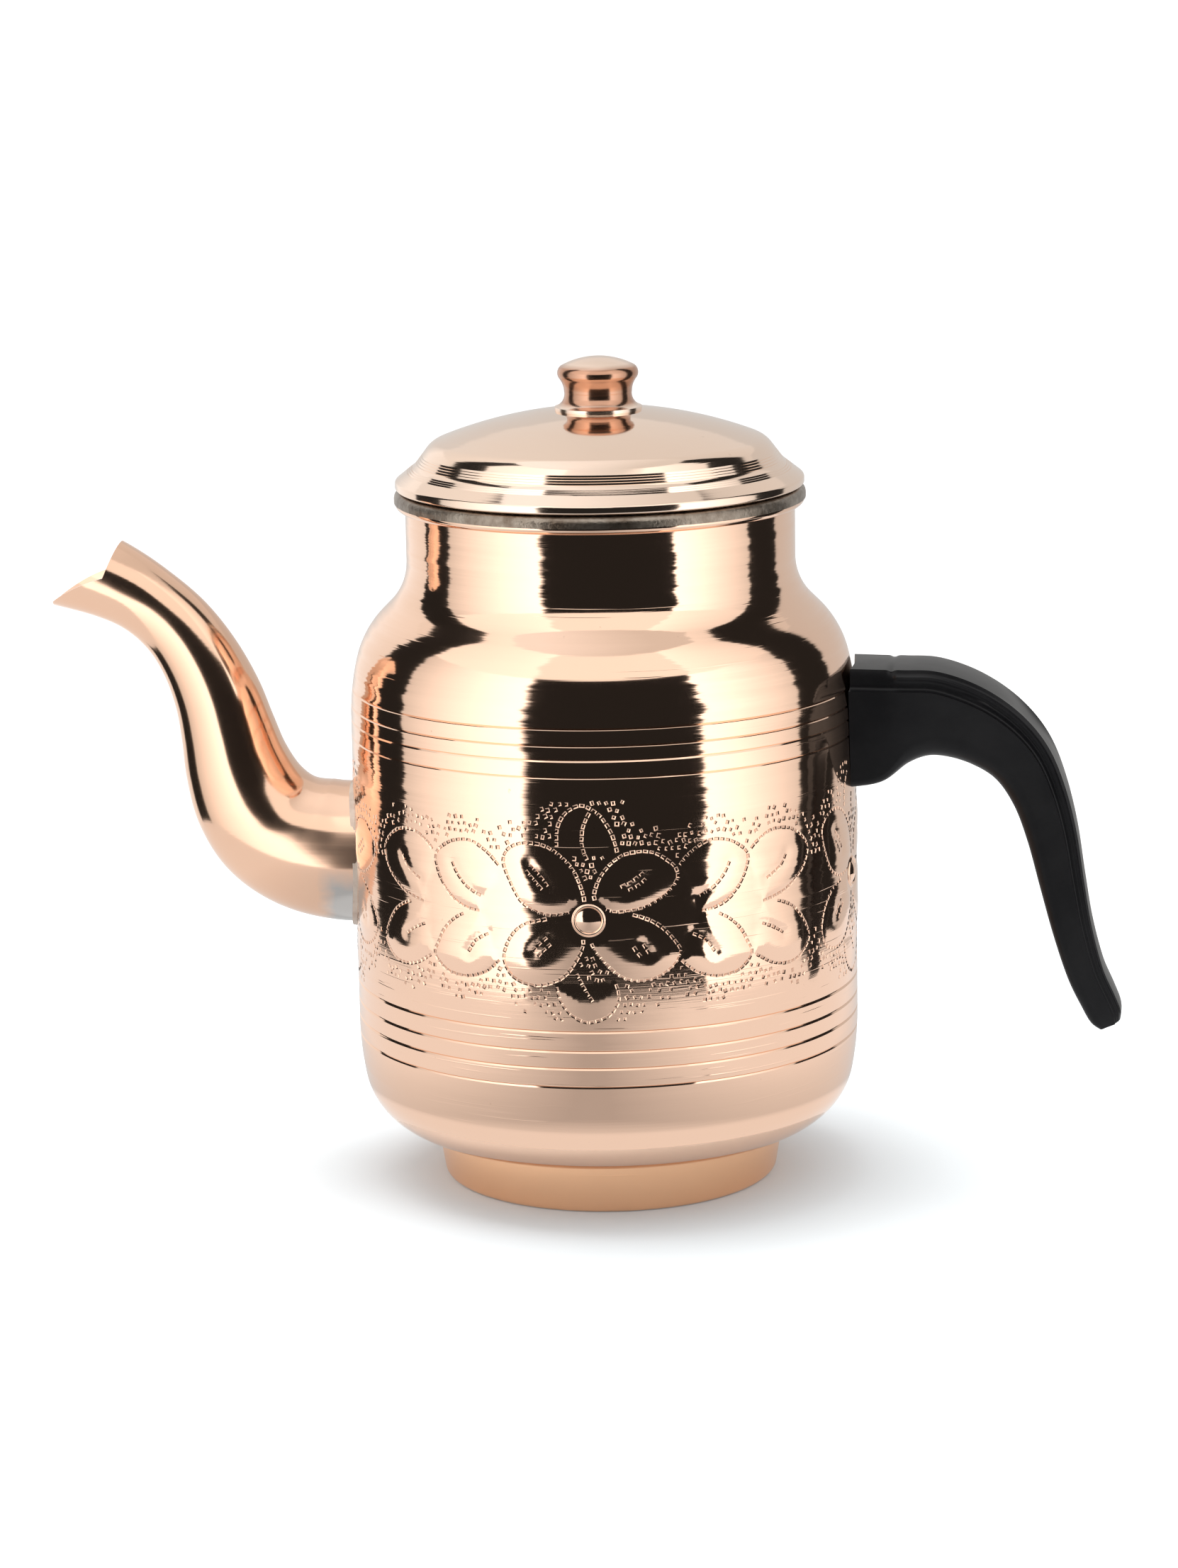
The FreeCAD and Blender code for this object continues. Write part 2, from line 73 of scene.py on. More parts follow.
# Chased band
BAND_LOW, BAND_HIGH = 60.6, 127.0
BAND_MID = 91.5
FLOWERS = (2.3, 81.8, 148.8, 215.8, 282.8)          # azimuth of each boss, from the front towards the handle
DASH_LONG, DASH_WIDE, DASH_PITCH = 1.5, 1.0, 1.75
MARK_DEPTH = 0.165
MARK_WALL = 0.28         # width of a mark's sloping side
MARK_FLOOR = 0.08        # least half width of a mark's flat bottom
PUNCH_PITCH, PUNCH_GAP = 1.9, 1.62
BULGE = 0.31
LEAF_BULGE = 0.15        # leaves above and below each flower
BULGE_RUN = 6.0

# Spout centre line (x, z, outer radius, rise in degrees), as in the CAD
SPOUT_STATIONS = (
    (-64.0, 94.0, 20.6, 0),
    (-78.0, 94.2, 20.4, 3),
    (-89.0, 96.8, 19.8, 24),
    (-98.0, 102.1, 18.6, 44),
    (-104.1, 110.4, 17.1, 62),
    (-107.8, 120.4, 15.3, 73),
    (-110.1, 130.4, 13.8, 76),
    (-112.8, 140.4, 12.7, 72),
    (-117.5, 150.9, 11.6, 61),
    (-123.9, 160.3, 10.8, 50),
    (-132.3, 167.8, 10.6, 39),
    (-142.2, 173.6, 11.5, 28),
    (-155.0, 178.8, 12.9, 20),
)
BEAK_NOTCH = (-142.9, 176.1)
BEAK_CROWN = (-136.2, 193.2)
BEAK_LIP = (-152.2, 172.7)
BEAK_TIP = (-160.2, 167.4)

# Handle centre line (x, z, half thickness, half width, inner corner radius, direction in degrees)
HANDLE_STATIONS = (
    (64.0, 133.1, 17.2, 14.3, 2.0, 0),
    (72.0, 133.2, 17.2, 14.3, 2.0, 0),
    (80.5, 133.9, 16.3, 14.2, 2.5, 1),
    (87.5, 136.3, 13.8, 14.1, 5.0, 2),
    (95.4, 137.0, 12.6, 13.8, 6.0, -6),
    (104.6, 134.4, 11.5, 13.4, 6.0, -23),
    (113.3, 129.4, 10.3, 12.9, 5.5, -40),
    (120.3, 122.4, 9.0, 12.4, 5.0, -57),
    (125.2, 112.7, 7.9, 11.9, 4.5, -70),
    (128.7, 101.1, 7.2, 11.4, 4.0, -77),
    (131.6, 87.2, 6.4, 11.0, 3.5, -78),
    (134.6, 73.6, 5.7, 10.6, 3.0, -76),
    (138.3, 61.0, 5.3, 10.2, 3.0, -71),
    (142.0, 52.8, 5.1, 9.8, 2.8, -66),
    (144.2, 48.2, 4.7, 9.4, 2.5, -64),
    (145.5, 45.6, 3.2, 8.4, 1.5, -62),
)
GRIP_TAPER = 0.84
BEVEL_W, BEVEL_H, BEVEL_SHARE = 2.5, 6.0, 0.5

# Lid and knob
LID_TOP_Z = 223.7
LID_CROWN = (126.0, 21.5)
LID_EDGE = (7.0, 31.5)
LID_SLOPE = 5.0
LID_FLARE = (5.0, 15.0)
HEM_TOP_Z, HEM_R, HEM_BENDS, HEM_DROP = 204.0, 55.4, (1.0, 0.8), 1.0
LID_SHEET = 0.9
LID_SMOOTH = 1.7        # plain slope above the turned rings
LID_RINGS = (0.06, 0.12, 0.06, 0.06)      # plain land after each ring cut in the lid's slope
RING_CUT = (0.50, 0.24, 0.22)       # steep face, return face, depth
FLARE_CUT, FLARE_GAP = (0.42, 0.20, 0.28), 0.12

FOOT_FLANGE_R, FOOT_FLAT_R, FOOT_BEND, FOOT_LEAN = 42.0, 46.6, 2.0, 80.5


# ---------------------------------------------------------------- meshes

def make(name, verts, faces, normals=None, material=None, body="pot", replaces=(), slot="copper"):
    """A piece from vertices in millimetres; normals is one vector per face corner."""
    mesh = bpy.data.meshes.new(name)
    mesh.from_pydata((np.asarray(verts, float) * MM).tolist(), [], faces)
    mesh.update()
    if normals is not None:
        mesh.polygons.foreach_set("use_smooth", [True] * len(mesh.polygons))
        mesh.normals_split_custom_set(normals)
    piece = bpy.data.objects.new(name, mesh)
    bpy.context.scene.collection.objects.link(piece)
    mesh.materials.append(material)
    if body:
        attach(piece, body)
    if replaces:
        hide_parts(*replaces)
    return piece


class Walk:
    """A profile in (r, z) made of tangent lines and arcs, sampled with its normals; inset shifts it left."""

    def __init__(self, r, z, heading, inset=0.0, step=3.0):
        self.r, self.z, self.heading = r, z, heading
        self.inset, self.step = inset, step
        self.points, self.normals, self.runs = [], [], []

    def _put(self, start):
        a = math.radians(self.heading)
        n = (math.sin(a), -math.cos(a))
        self.points.append((max(self.r - self.inset * n[0], 0.0), self.z - self.inset * n[1]))
        self.normals.append(n)
        if not start:
            self.runs.append((len(self.points) - 2, len(self.points) - 1))

    def line(self, length, pieces=1):
        a = math.radians(self.heading)
        self._put(True)
        for _ in range(pieces):
            self.r += length / pieces * math.cos(a)
            self.z += length / pieces * math.sin(a)
            self._put(False)
        return self

    def arc(self, radius, turn):
        count = max(2, math.ceil(abs(turn) / self.step))
        side = math.copysign(1.0, turn)
        a = math.radians(self.heading)
        cr, cz = self.r - side * radius * math.sin(a), self.z + side * radius * math.cos(a)
        self._put(True)
        for _ in range(count):
            self.heading += turn / count
            b = math.radians(self.heading)
            self.r, self.z = cr + side * radius * math.sin(b), cz - side * radius * math.cos(b)
            self._put(False)
        return self

    def corner(self, points):
        """Straight facets through (r, z) points, each with its own normal."""
        for r, z in points:
            p = (self.r, self.z)
            self.heading = math.degrees(math.atan2(z - p[1], r - p[0]))
            self._put(True)
            self.r, self.z = r, z
            self._put(False)
        return self


def ring_faces(runs, count, offset=0):
    faces = []
    for a, b in runs:
        for j in range(count):
            k = (j + 1) % count
            low, high = offset + a * count, offset + b * count
            faces.append((low + j, low + k, high + k, high + j))
    return faces


def lathe_arrays(points, normals, count=AROUND):
    """Vertices and normals of a turned surface; azimuth 0 is the front, -Y."""
    az = np.arange(count) * 2 * math.pi / count
    s, c = np.sin(az), -np.cos(az)
    p, n = np.array(points), np.array(normals)
    verts = np.stack([np.outer(p[:, 0], s), np.outer(p[:, 0], c), np.outer(p[:, 1], np.ones(count))], -1)
    norms = np.stack([np.outer(n[:, 0], s), np.outer(n[:, 0], c), np.outer(n[:, 1], np.ones(count))], -1)
    return verts.reshape(-1, 3), norms.reshape(-1, 3)


def lathe(name, walk, material, count=AROUND, flip=1, **kw):
    verts, norms = lathe_arrays(walk.points, walk.normals, count)
    faces = ring_faces(walk.runs, count)
    if flip < 0:
        norms = -norms
        faces = [f[::-1] for f in faces]
    loops = [tuple(norms[v]) for f in faces for v in f]
    return make(name, verts, faces, loops, material, **kw)


# ---------------------------------------------------------------- materials

def new_material(name, color, metallic, rough, **inputs):
    m = bpy.data.materials.new(name)
    m.use_nodes = True
    shader = m.node_tree.nodes["Principled BSDF"]
    shader.inputs["Base Color"].default_value = (*color, 1)
    shader.inputs["Metallic"].default_value = metallic
    shader.inputs["Roughness"].default_value = rough
    for key, value in inputs.items():
        shader.inputs[key.replace("_", " ")].default_value = value
    return m, m.node_tree.nodes, m.node_tree.links, shader


def node(nodes, kind, **values):
    n = nodes.new(kind)
    for key, value in values.items():
        if key in n.inputs:
            n.inputs[key].default_value = value
        else:
            setattr(n, key, value)
    return n


def calc(nodes, links, operation, a, b=None, clamp=False):
    n = nodes.new("ShaderNodeMath")
    n.operation = operation
    n.use_clamp = clamp
    for socket, value in zip(n.inputs, (a, b)):
        if value is None:
            continue
        if isinstance(value, (int, float)):
            socket.default_value = value
        else:
            links.new(value, socket)
    return n.outputs[0]


def noise(nodes, links, vector, scale, detail=3.0, rough=0.55):
    n = node(nodes, "ShaderNodeTexNoise", Scale=scale, Detail=detail, Roughness=rough)
    links.new(vector, n.inputs["Vector"])
    return n.outputs["Fac"]


def ramp(nodes, links, factor, *stops):
    n = nodes.new("ShaderNodeValToRGB")
    elements = n.color_ramp.elements
    elements.remove(elements[1])
    for k, (place, color) in enumerate(stops):
        e = elements.new(place) if k else elements[0]
        e.position = place
        e.color = (*color, 1) if isinstance(color, tuple) else (color, color, color, 1)
    links.new(factor, n.inputs[0])
    return n.outputs[0]


def blend(nodes, links, factor, one, two):
    n = nodes.new("ShaderNodeMix")
    n.data_type = "RGBA"
    for socket, value in zip((n.inputs[0], n.inputs[6], n.inputs[7]), (factor, one, two)):
        if isinstance(value, (int, float)):
            socket.default_value = value
        elif isinstance(value, tuple):
            socket.default_value = (*value, 1)
        else:
            links.new(value, socket)
    return n.outputs[2]


LIP_INSIDE, LIP_FROM = 0.0546, 0.190        # metres: radius and height where the tin's lip begins
COPPER = (0.93, 0.64, 0.48)
COPPER_DEEP = (0.80, 0.40, 0.24)
TARNISH = (0.30, 0.13, 0.08)


def stretched(nodes, links, axes, round_scale, up_scale):
    """Object position squeezed into long rings: coarse round the axis, fine up it."""
    join = nodes.new("ShaderNodeCombineXYZ")
    for socket, axis, scale in zip(join.inputs, axes, (round_scale, round_scale, up_scale)):
        links.new(calc(nodes, links, "MULTIPLY", axis, scale), socket)
    return join.outputs[0]


def spun_copper(name, color=COPPER, rough=0.08, streak=0.05, lines=0.10, stain=0.25, pits=0.0,
                painted_sheen_ends=None, tinned=None):
    """Polished copper with fine rings from the lathe, faint stains, painted shade in the struck marks, and a painted
    highlight at the ends where asked.
    """
    m, nodes, links, shader = new_material(name, color, 1.0, rough)
    shader.inputs["Anisotropic"].default_value = 0.3
    position = node(nodes, "ShaderNodeTexCoord").outputs["Object"]
    split = nodes.new("ShaderNodeSeparateXYZ")
    links.new(position, split.inputs[0])
    axes = split.outputs
    rings = noise(nodes, links, stretched(nodes, links, axes, 26.0, 1900.0), 1.0, 2.0, 0.6)
    bands = noise(nodes, links, stretched(nodes, links, axes, 14.0, 420.0), 1.0, 2.0, 0.5)
    scored = noise(nodes, links, stretched(nodes, links, axes, 24.0, 1100.0), 1.0, 1.0, 0.5)
    # the lathe's rings tilt the surface sideways, more in some places than others
    geometry = nodes.new("ShaderNodeNewGeometry")
    tangent = nodes.new("ShaderNodeTangent")
    tangent.direction_type = "RADIAL"
    tangent.axis = "Z"
    links.new(tangent.outputs[0], shader.inputs["Tangent"])
    sway = calc(nodes, links, "ADD", calc(nodes, links, "MULTIPLY", rings, 0.35),
                     calc(nodes, links, "MULTIPLY", bands, 0.65))
    patchy = ramp(nodes, links, noise(nodes, links, position, 22.0, 1.0, 0.5), (0.35, 0.35), (0.65, 1.0))
    sway = calc(nodes, links, "MULTIPLY", calc(nodes, links, "SUBTRACT", sway, 0.5), 4 * streak)
    sway = calc(nodes, links, "MULTIPLY", sway, patchy)
    push = nodes.new("ShaderNodeVectorMath")
    push.operation = "SCALE"
    links.new(tangent.outputs[0], push.inputs[0])
    links.new(sway, push.inputs["Scale"])
    tilt = nodes.new("ShaderNodeVectorMath")
    tilt.operation = "ADD"
    links.new(geometry.outputs["Normal"], tilt.inputs[0])
    links.new(push.outputs[0], tilt.inputs[1])
    unit = nodes.new("ShaderNodeVectorMath")
    unit.operation = "NORMALIZE"
    links.new(tilt.outputs[0], unit.inputs[0])
    bump = node(nodes, "ShaderNodeBump", Strength=0.03, Distance=0.0002)
    links.new(rings, bump.inputs["Height"])
    links.new(unit.outputs[0], bump.inputs["Normal"])
    score = node(nodes, "ShaderNodeBump", Strength=lines, Distance=0.0002)
    links.new(ramp(nodes, links, scored, (0.66, 0.0), (0.74, 1.0)), score.inputs["Height"])
    links.new(bump.outputs[0], score.inputs["Normal"])
    links.new(score.outputs[0], shader.inputs["Normal"])
    # stains, and painted shade in the floors of the struck marks
    cloud = noise(nodes, links, position, 45.0, 5.0, 0.6)
    patch = ramp(nodes, links, cloud, (0.45, 0.0), (0.75, 1.0))
    fleck = noise(nodes, links, position, 420.0, 3.0, 0.6)
    spot = ramp(nodes, links, fleck, (0.74, 0.0), (0.80, 1.0))
    stains_and_painted_light = blend(nodes, links, calc(nodes, links, "MULTIPLY", patch, stain), color,
                 tuple(0.86 * a + 0.14 * b for a, b in zip(color, COPPER_DEEP)))
    stains_and_painted_light = blend(nodes, links, calc(nodes, links, "MULTIPLY", spot, 0.35 + pits), stains_and_painted_light, TARNISH)
    # painted shade: the struck marks' floors are coloured darker, standing for the shade in these recesses
    struck = node(nodes, "ShaderNodeAttribute", attribute_name="struck").outputs["Fac"]
    stains_and_painted_light = blend(nodes, links, calc(nodes, links, "MULTIPLY", struck, 0.45), stains_and_painted_light, (0.42, 0.20, 0.13))
    if tinned:
        ragged = calc(nodes, links, "MULTIPLY", cloud, 0.012)
        along_x = calc(nodes, links, "SUBTRACT", calc(nodes, links, "ADD", axes[0], ragged), tinned[0])
        below = calc(nodes, links, "SUBTRACT", tinned[1], calc(nodes, links, "ADD", axes[2], ragged))
        film = calc(nodes, links, "MULTIPLY", calc(nodes, links, "MULTIPLY", along_x, 220.0, clamp=True),
                         calc(nodes, links, "MULTIPLY", below, 120.0, clamp=True))
        stains_and_painted_light = blend(nodes, links, film, stains_and_painted_light, (0.52, 0.50, 0.48))
    # painted highlight: the colour turns pale below and above two given heights, on the knob's flare and top
    if painted_sheen_ends:
        rise = calc(nodes, links, "SUBTRACT", axes[2], painted_sheen_ends[1])
        fall = calc(nodes, links, "SUBTRACT", painted_sheen_ends[0], axes[2])
        painted_highlight_mask = calc(nodes, links, "MULTIPLY", calc(nodes, links, "MAXIMUM", rise, fall), 900.0, clamp=True)
        stains_and_painted_light = blend(nodes, links, painted_highlight_mask, stains_and_painted_light, (0.95, 0.75, 0.62))
    links.new(stains_and_painted_light, shader.inputs["Base Color"])
    low = calc(nodes, links, "MULTIPLY", cloud, 0.08)
    links.new(calc(nodes, links, "ADD", low, rough - 0.05), shader.inputs["Roughness"])
    return m


def dull_metal(name, color, dark, rough, scale=120.0, bump_size=0.0003, lip=None):
    """Wiped tin, solder or satin metal: cloudy colour and a fine pitted surface; the lip's colour is darker, tarnish
    with painted shade under the lid's hem.
    """
    m, nodes, links, shader = new_material(name, color, 1.0, rough)
    position = node(nodes, "ShaderNodeTexCoord").outputs["Object"]
    cloud = noise(nodes, links, position, scale, 6.0, 0.65)
    fine = noise(nodes, links, position, scale * 7, 4.0, 0.6)
    shade = ramp(nodes, links, cloud, (0.35, dark), (0.62, color))
    if lip:
        split = nodes.new("ShaderNodeSeparateXYZ")
        links.new(position, split.inputs[0])
        x, y, z = split.outputs
        from_axis = calc(nodes, links, "SQRT", calc(
            nodes, links, "ADD", calc(nodes, links, "MULTIPLY", x, x), calc(nodes, links, "MULTIPLY", y, y)))
        outside = calc(nodes, links, "MULTIPLY", calc(nodes, links, "SUBTRACT", from_axis, LIP_INSIDE),
                            2000.0, clamp=True)
        above = calc(nodes, links, "MULTIPLY", calc(nodes, links, "SUBTRACT", z, LIP_FROM), 2000.0,
                     clamp=True)
        # darker lip colours: tarnish, with painted shade under the lid's hem
        lip_tarnish_and_shade = ramp(nodes, links, cloud, (0.35, lip[1]), (0.62, lip[0]))
        shade = blend(nodes, links, calc(nodes, links, "MULTIPLY", outside, above), shade, lip_tarnish_and_shade)
    links.new(shade, shader.inputs["Base Color"])
    links.new(calc(nodes, links, "ADD", calc(nodes, links, "MULTIPLY", fine, 0.25), rough - 0.1),
              shader.inputs["Roughness"])
    bump = node(nodes, "ShaderNodeBump", Strength=0.5, Distance=bump_size)
    links.new(fine, bump.inputs["Height"])
    links.new(bump.outputs[0], shader.inputs["Normal"])
    return m


def moulded_black(name):
    m, nodes, links, shader = new_material(name, (0.004, 0.004, 0.005), 0.0, 0.3)
    shader.inputs["Specular IOR Level"].default_value = 0.2
    position = node(nodes, "ShaderNodeTexCoord").outputs["Object"]
    cloud = noise(nodes, links, position, 60.0, 5.0, 0.6)
    fine = noise(nodes, links, position, 1500.0, 3.0, 0.6)
    links.new(ramp(nodes, links, cloud, (0.35, (0.0035, 0.0035, 0.0045)), (0.7, (0.007, 0.007, 0.008))),
              shader.inputs["Base Color"])
    links.new(calc(nodes, links, "ADD", calc(nodes, links, "MULTIPLY", cloud, 0.16), 0.24),
              shader.inputs["Roughness"])
    bump = node(nodes, "ShaderNodeBump", Strength=0.12, Distance=0.0001)
    links.new(fine, bump.inputs["Height"])
    links.new(bump.outputs[0], shader.inputs["Normal"])
    return m


copper = spun_copper("copper_body")
copper_lid = spun_copper("copper_lid", color=(0.95, 0.74, 0.60), streak=0.03, rough=0.10)
# the knob's flare and top carry a painted highlight
copper_knob = spun_copper("copper_knob", color=(0.55, 0.31, 0.21), streak=0.012, rough=0.19, stain=0.8,
                          painted_sheen_ends=(0.2254, 0.2352))
copper_spout = spun_copper("copper_spout", color=(0.88, 0.58, 0.42), streak=0.006, lines=0.0,
                           rough=0.14, stain=0.7,
                           tinned=(-0.0765, 0.100))
copper_foot = spun_copper("copper_foot", color=(0.97, 0.58, 0.35), streak=0.02, rough=0.26, stain=0.6,
                          pits=0.2)
# the lip's darker colours are tarnish with painted shade under the lid's hem
tin = dull_metal("tin", (0.78, 0.76, 0.72), (0.60, 0.57, 0.52), 0.30,
                 lip=((0.36, 0.31, 0.26), (0.16, 0.12, 0.09)))
solder = dull_metal("solder", (0.66, 0.56, 0.48), (0.46, 0.36, 0.30), 0.34, 90.0, 0.0001)
steel = dull_metal("steel", (0.55, 0.55, 0.55), (0.38, 0.38, 0.39), 0.3, 200.0)
bakelite = moulded_black("bakelite")


# ---------------------------------------------------------------- chased band

def smooth_loop(points, closed=True, pieces=10):
    """Catmull-Rom curve through given points."""
    p = [Vector((*q, 0)) for q in points]
    n = len(p)
    out = []
    spans = n if closed else n - 1
    for i in range(spans):
        a = p[(i - 1) % n] if closed or i else p[0]
        b, c = p[i], p[(i + 1) % n]
        d = p[(i + 2) % n] if closed or i + 2 < n else p[-1]
        for k in range(pieces):
            t = k / pieces
            q = 0.5 * ((2 * b) + (c - a) * t + (2 * a - 5 * b + 4 * c - d) * t * t + (3 * b - a - 3 * c + d) * t ** 3)
            out.append((q.x, q.y))
    if not closed:
        out.append((p[-1].x, p[-1].y))
    return np.array(out)


def along(path, pitch, start=0.0):
    """Points and directions at equal steps along a polyline."""
    seg = np.diff(path, axis=0)
    length = np.hypot(*seg.T)
    total = np.concatenate([[0], np.cumsum(length)])
    count = int((total[-1] - start) / pitch)
    places = []
    for k in range(count):
        s = start + (k + 0.5) * (total[-1] - start) / max(count, 1)
        i = min(np.searchsorted(total, s, side="right") - 1, len(seg) - 1)
        t = (s - total[i]) / max(length[i], 1e-9)
        places.append((path[i] + seg[i] * t, math.atan2(seg[i][1], seg[i][0])))
    return places


# Outlines in millimetres from a boss: along the wall, and up it
PETALS = (
    ((-2.0, 3.6), (-7.0, 1.8), (-12.7, 1.6), (-18.7, 4.6), (-22.4, 11.0), (-24.0, 16.2), (-22.0, 19.8),
     (-17.0, 21.4), (-10.7, 20.2), (-4.6, 14.8), (-1.4, 7.2)),
    ((1.6, 7.2), (4.2, 13.5), (9.7, 18.2), (17.3, 18.8), (23.0, 15.4), (24.8, 12.6), (24.4, 10.0),
     (21.0, 6.4),
     (15.2, 3.4), (7.6, 2.4), (3.4, 4.0)),
    ((-4.6, 1.0), (-11.5, 0.2), (-18.4, -1.8), (-22.6, -6.0), (-24.4, -12.0), (-21.4, -17.0), (-14.8, -18.8),
     (-8.0, -16.6), (-3.8, -11.6), (-1.6, -5.6)),
    ((5.0, 1.0), (12.0, 1.3), (19.2, -1.8), (24.4, -7.4), (25.3, -10.4), (22.6, -14.4), (16.8, -17.2),
     (10.1, -16.8), (4.6, -12.4), (0.6, -5.6)),
)
# Two pairs of leaves beside each flower, each pair pointing back at it;
# every outline starts and ends on its neighbour
LEAVES = (
    ((25.4, 14.5), (28.6, 17.8), (33.8, 20.7), (39.4, 20.4), (43.9, 18.2), (46.4, 15.3), (45.8, 11.4),
     (43.6, 7.2),
     (40.0, 3.6), (35.4, 1.6), (31.6, 1.2)),
    ((31.6, 1.2), (36.0, 0.2), (40.2, -2.0), (43.8, -5.4), (46.0, -9.2), (47.4, -13.1), (43.0, -17.1),
     (36.4, -17.9),
     (30.2, -16.0), (25.6, -12.2)),
    ((46.4, 15.3), (49.4, 18.5), (55.3, 21.1), (62.2, 20.3), (67.6, 16.7), (69.4, 12.9), (67.1, 8.2),
     (61.4, 4.0),
     (56.8, 2.3), (51.4, 1.3)),
    ((51.4, 1.2), (57.8, 0.3), (63.6, -2.6), (68.0, -7.6), (69.8, -12.5), (66.2, -16.5), (61.5, -17.9),
     (55.4, -17.0), (50.4, -14.4), (47.4, -12.6)),
)
LEAVES_FROM, LEAVES_TO = 25.4, 69.8
TOP_LEAF = ((-8.6, 20.4), (-8.4, 25.0), (-7.2, 28.4), (-4.9, 30.9), (-1.2, 32.2), (3.4, 29.4),
            (6.6, 24.4), (8.2, 18.8))
LOW_LEAF = ((-9.3, -18.9), (-7.9, -23.6), (-4.9, -27.2), (-0.4, -29.0), (5.2, -27.0), (7.9, -22.6),
            (7.2, -18.0))
VEINS = (
    ((-16.4, 15.4), (-13.6, 12.6), (-11.0, 9.2)),
    ((-17.4, 13.8), (-15.0, 11.0), (-12.8, 8.4)),
    ((8.7, 9.2), (12.0, 10.8), (15.5, 13.4)),
    ((10.6, 8.2), (13.4, 9.4), (16.2, 11.6)),
    ((-15.9, -9.4), (-13.8, -6.8), (-11.4, -4.8)),
    ((-14.6, -10.6), (-12.4, -8.4), (-10.4, -6.6)),
    ((12.0, -7.4), (13.2, -9.2), (14.4, -10.9)),
    ((14.8, -6.8), (15.8, -8.4), (16.8, -9.9)),
    ((0.7, 30.4), (-1.2, 25.9), (-1.5, 20.9), (-0.2, 16.9)),
    ((-3.7, -14.9), (-1.7, -19.1), (0.8, -23.2)),
)
PETAL_VEINS = (0, 3, 4, 7)      # the crease follows one vein of each pair
LEAF_VEINS = (
    ((31.0, 5.4), (35.4, 7.6), (38.7, 11.0), (40.5, 14.4)),
    ((28.9, -5.0), (32.9, -7.3), (35.6, -11.0)),
    ((52.6, 7.4), (57.8, 10.3), (60.2, 13.6)),
    ((51.0, -4.9), (55.0, -6.6), (59.0, -9.0)),
)
BOSS_R = 3.5            # the boss itself
BOSS_CLEAR = 5.7
BOSS_RADII = (0.6, 1.3, 2.0, 2.6, 3.1, 3.5, 3.56, 3.68, 3.86, 4.05, 4.24, 4.42, 4.54, 4.8)
BOSS_RING = (4.05, 0.5, 0.38)   # raised ring round it: radius, half width, height
VEIN_DENT = (-0.17, 1.9)        # crease along the veins: height, reach

turn_length = 2 * math.pi * BODY_R


def band_design():
    """Closed outlines, dashed paths and bosses on the unrolled wall: (u along it from the front, z)."""
    closed, dashed, veins, bosses = [], [], [], []

    def place(points, u0, flip=1):
        return [(u0 + flip * u, BAND_MID + z) for u, z in points]

    for k, azimuth in enumerate(FLOWERS):
        u0 = math.radians(azimuth) * BODY_R
        following = FLOWERS[(k + 1) % len(FLOWERS)] + (360 if k == len(FLOWERS) - 1 else 0)
        span = math.radians(following - azimuth) * BODY_R
        bosses.append((u0, BAND_MID))
        for shape in PETALS:
            loop = smooth_loop(place(shape, u0))
            closed.append((loop, BULGE))
            dashed.append(np.vstack([loop, loop[:1]]))
        for shape in (TOP_LEAF, LOW_LEAF):
            arch = smooth_loop(place(shape, u0), closed=False)
            closed.append((arch, LEAF_BULGE))
            dashed.append(arch)
        for index, vein in enumerate(VEINS):
            dashed.append(smooth_loop(place(vein, u0), closed=False))
            if index in PETAL_VEINS:
                veins.append(dashed[-1])
        squeeze = min(1.0, (span - 2 * LEAVES_FROM) / (LEAVES_TO - LEAVES_FROM))
        flip, base = (1, u0) if k < 3 else (-1, u0 + span)
        for shapes, kind in ((LEAVES, closed), (LEAF_VEINS, veins)):
            for shape in shapes:
                narrow = [(LEAVES_FROM + (u - LEAVES_FROM) * squeeze, z) for u, z in shape]
                path = smooth_loop(place(narrow, base, flip), closed=False)
                kind.append((path, BULGE) if kind is closed else path)
                dashed.append(path)
    return closed, dashed, veins, bosses


closed, dashed, veins, bosses = band_design()
SPOUT_U = math.radians(270) * BODY_R
SPOUT_CLEAR = 22.6
SPOUT_Z = 94.0


def unwrap(u):
    """Brings u into one turn that starts at the spout, where the band is interrupted."""
    return (u - SPOUT_U) % turn_length


def inside(points, loop):
    """Which points lie inside a closed loop, by crossing count."""
    x, y = points[:, 0][:, None], points[:, 1][:, None]
    x1, y1 = loop[:, 0][None], loop[:, 1][None]
    x2, y2 = np.roll(loop[:, 0], -1)[None], np.roll(loop[:, 1], -1)[None]
    crosses = ((y1 > y) != (y2 > y)) & (x < (x2 - x1) * (y - y1) / (y2 - y1 + 1e-12) + x1)
    return crosses.sum(1) % 2 == 1


def distance(points, loop, is_closed=True):
    """Distance from points to a polyline."""
    a = loop if is_closed else loop[:-1]
    b = np.roll(loop, -1, axis=0) if is_closed else loop[1:]
    ab = b - a
    ap = points[:, None, :] - a[None]
    t = np.clip((ap * ab[None]).sum(-1) / ((ab ** 2).sum(-1)[None] + 1e-12), 0, 1)
    return np.sqrt(((ap - t[..., None] * ab[None]) ** 2).sum(-1)).min(1)


shifted_closed = []
for loop, swell in closed:
    centre = loop[:, 0].mean()
    shifted_closed.append((loop + np.array([unwrap(centre) - centre, 0]), swell))
shifted_veins = []
for path in veins:
    centre = path[:, 0].mean()
    shifted_veins.append(path[::4] + np.array([unwrap(centre) - centre, 0]))


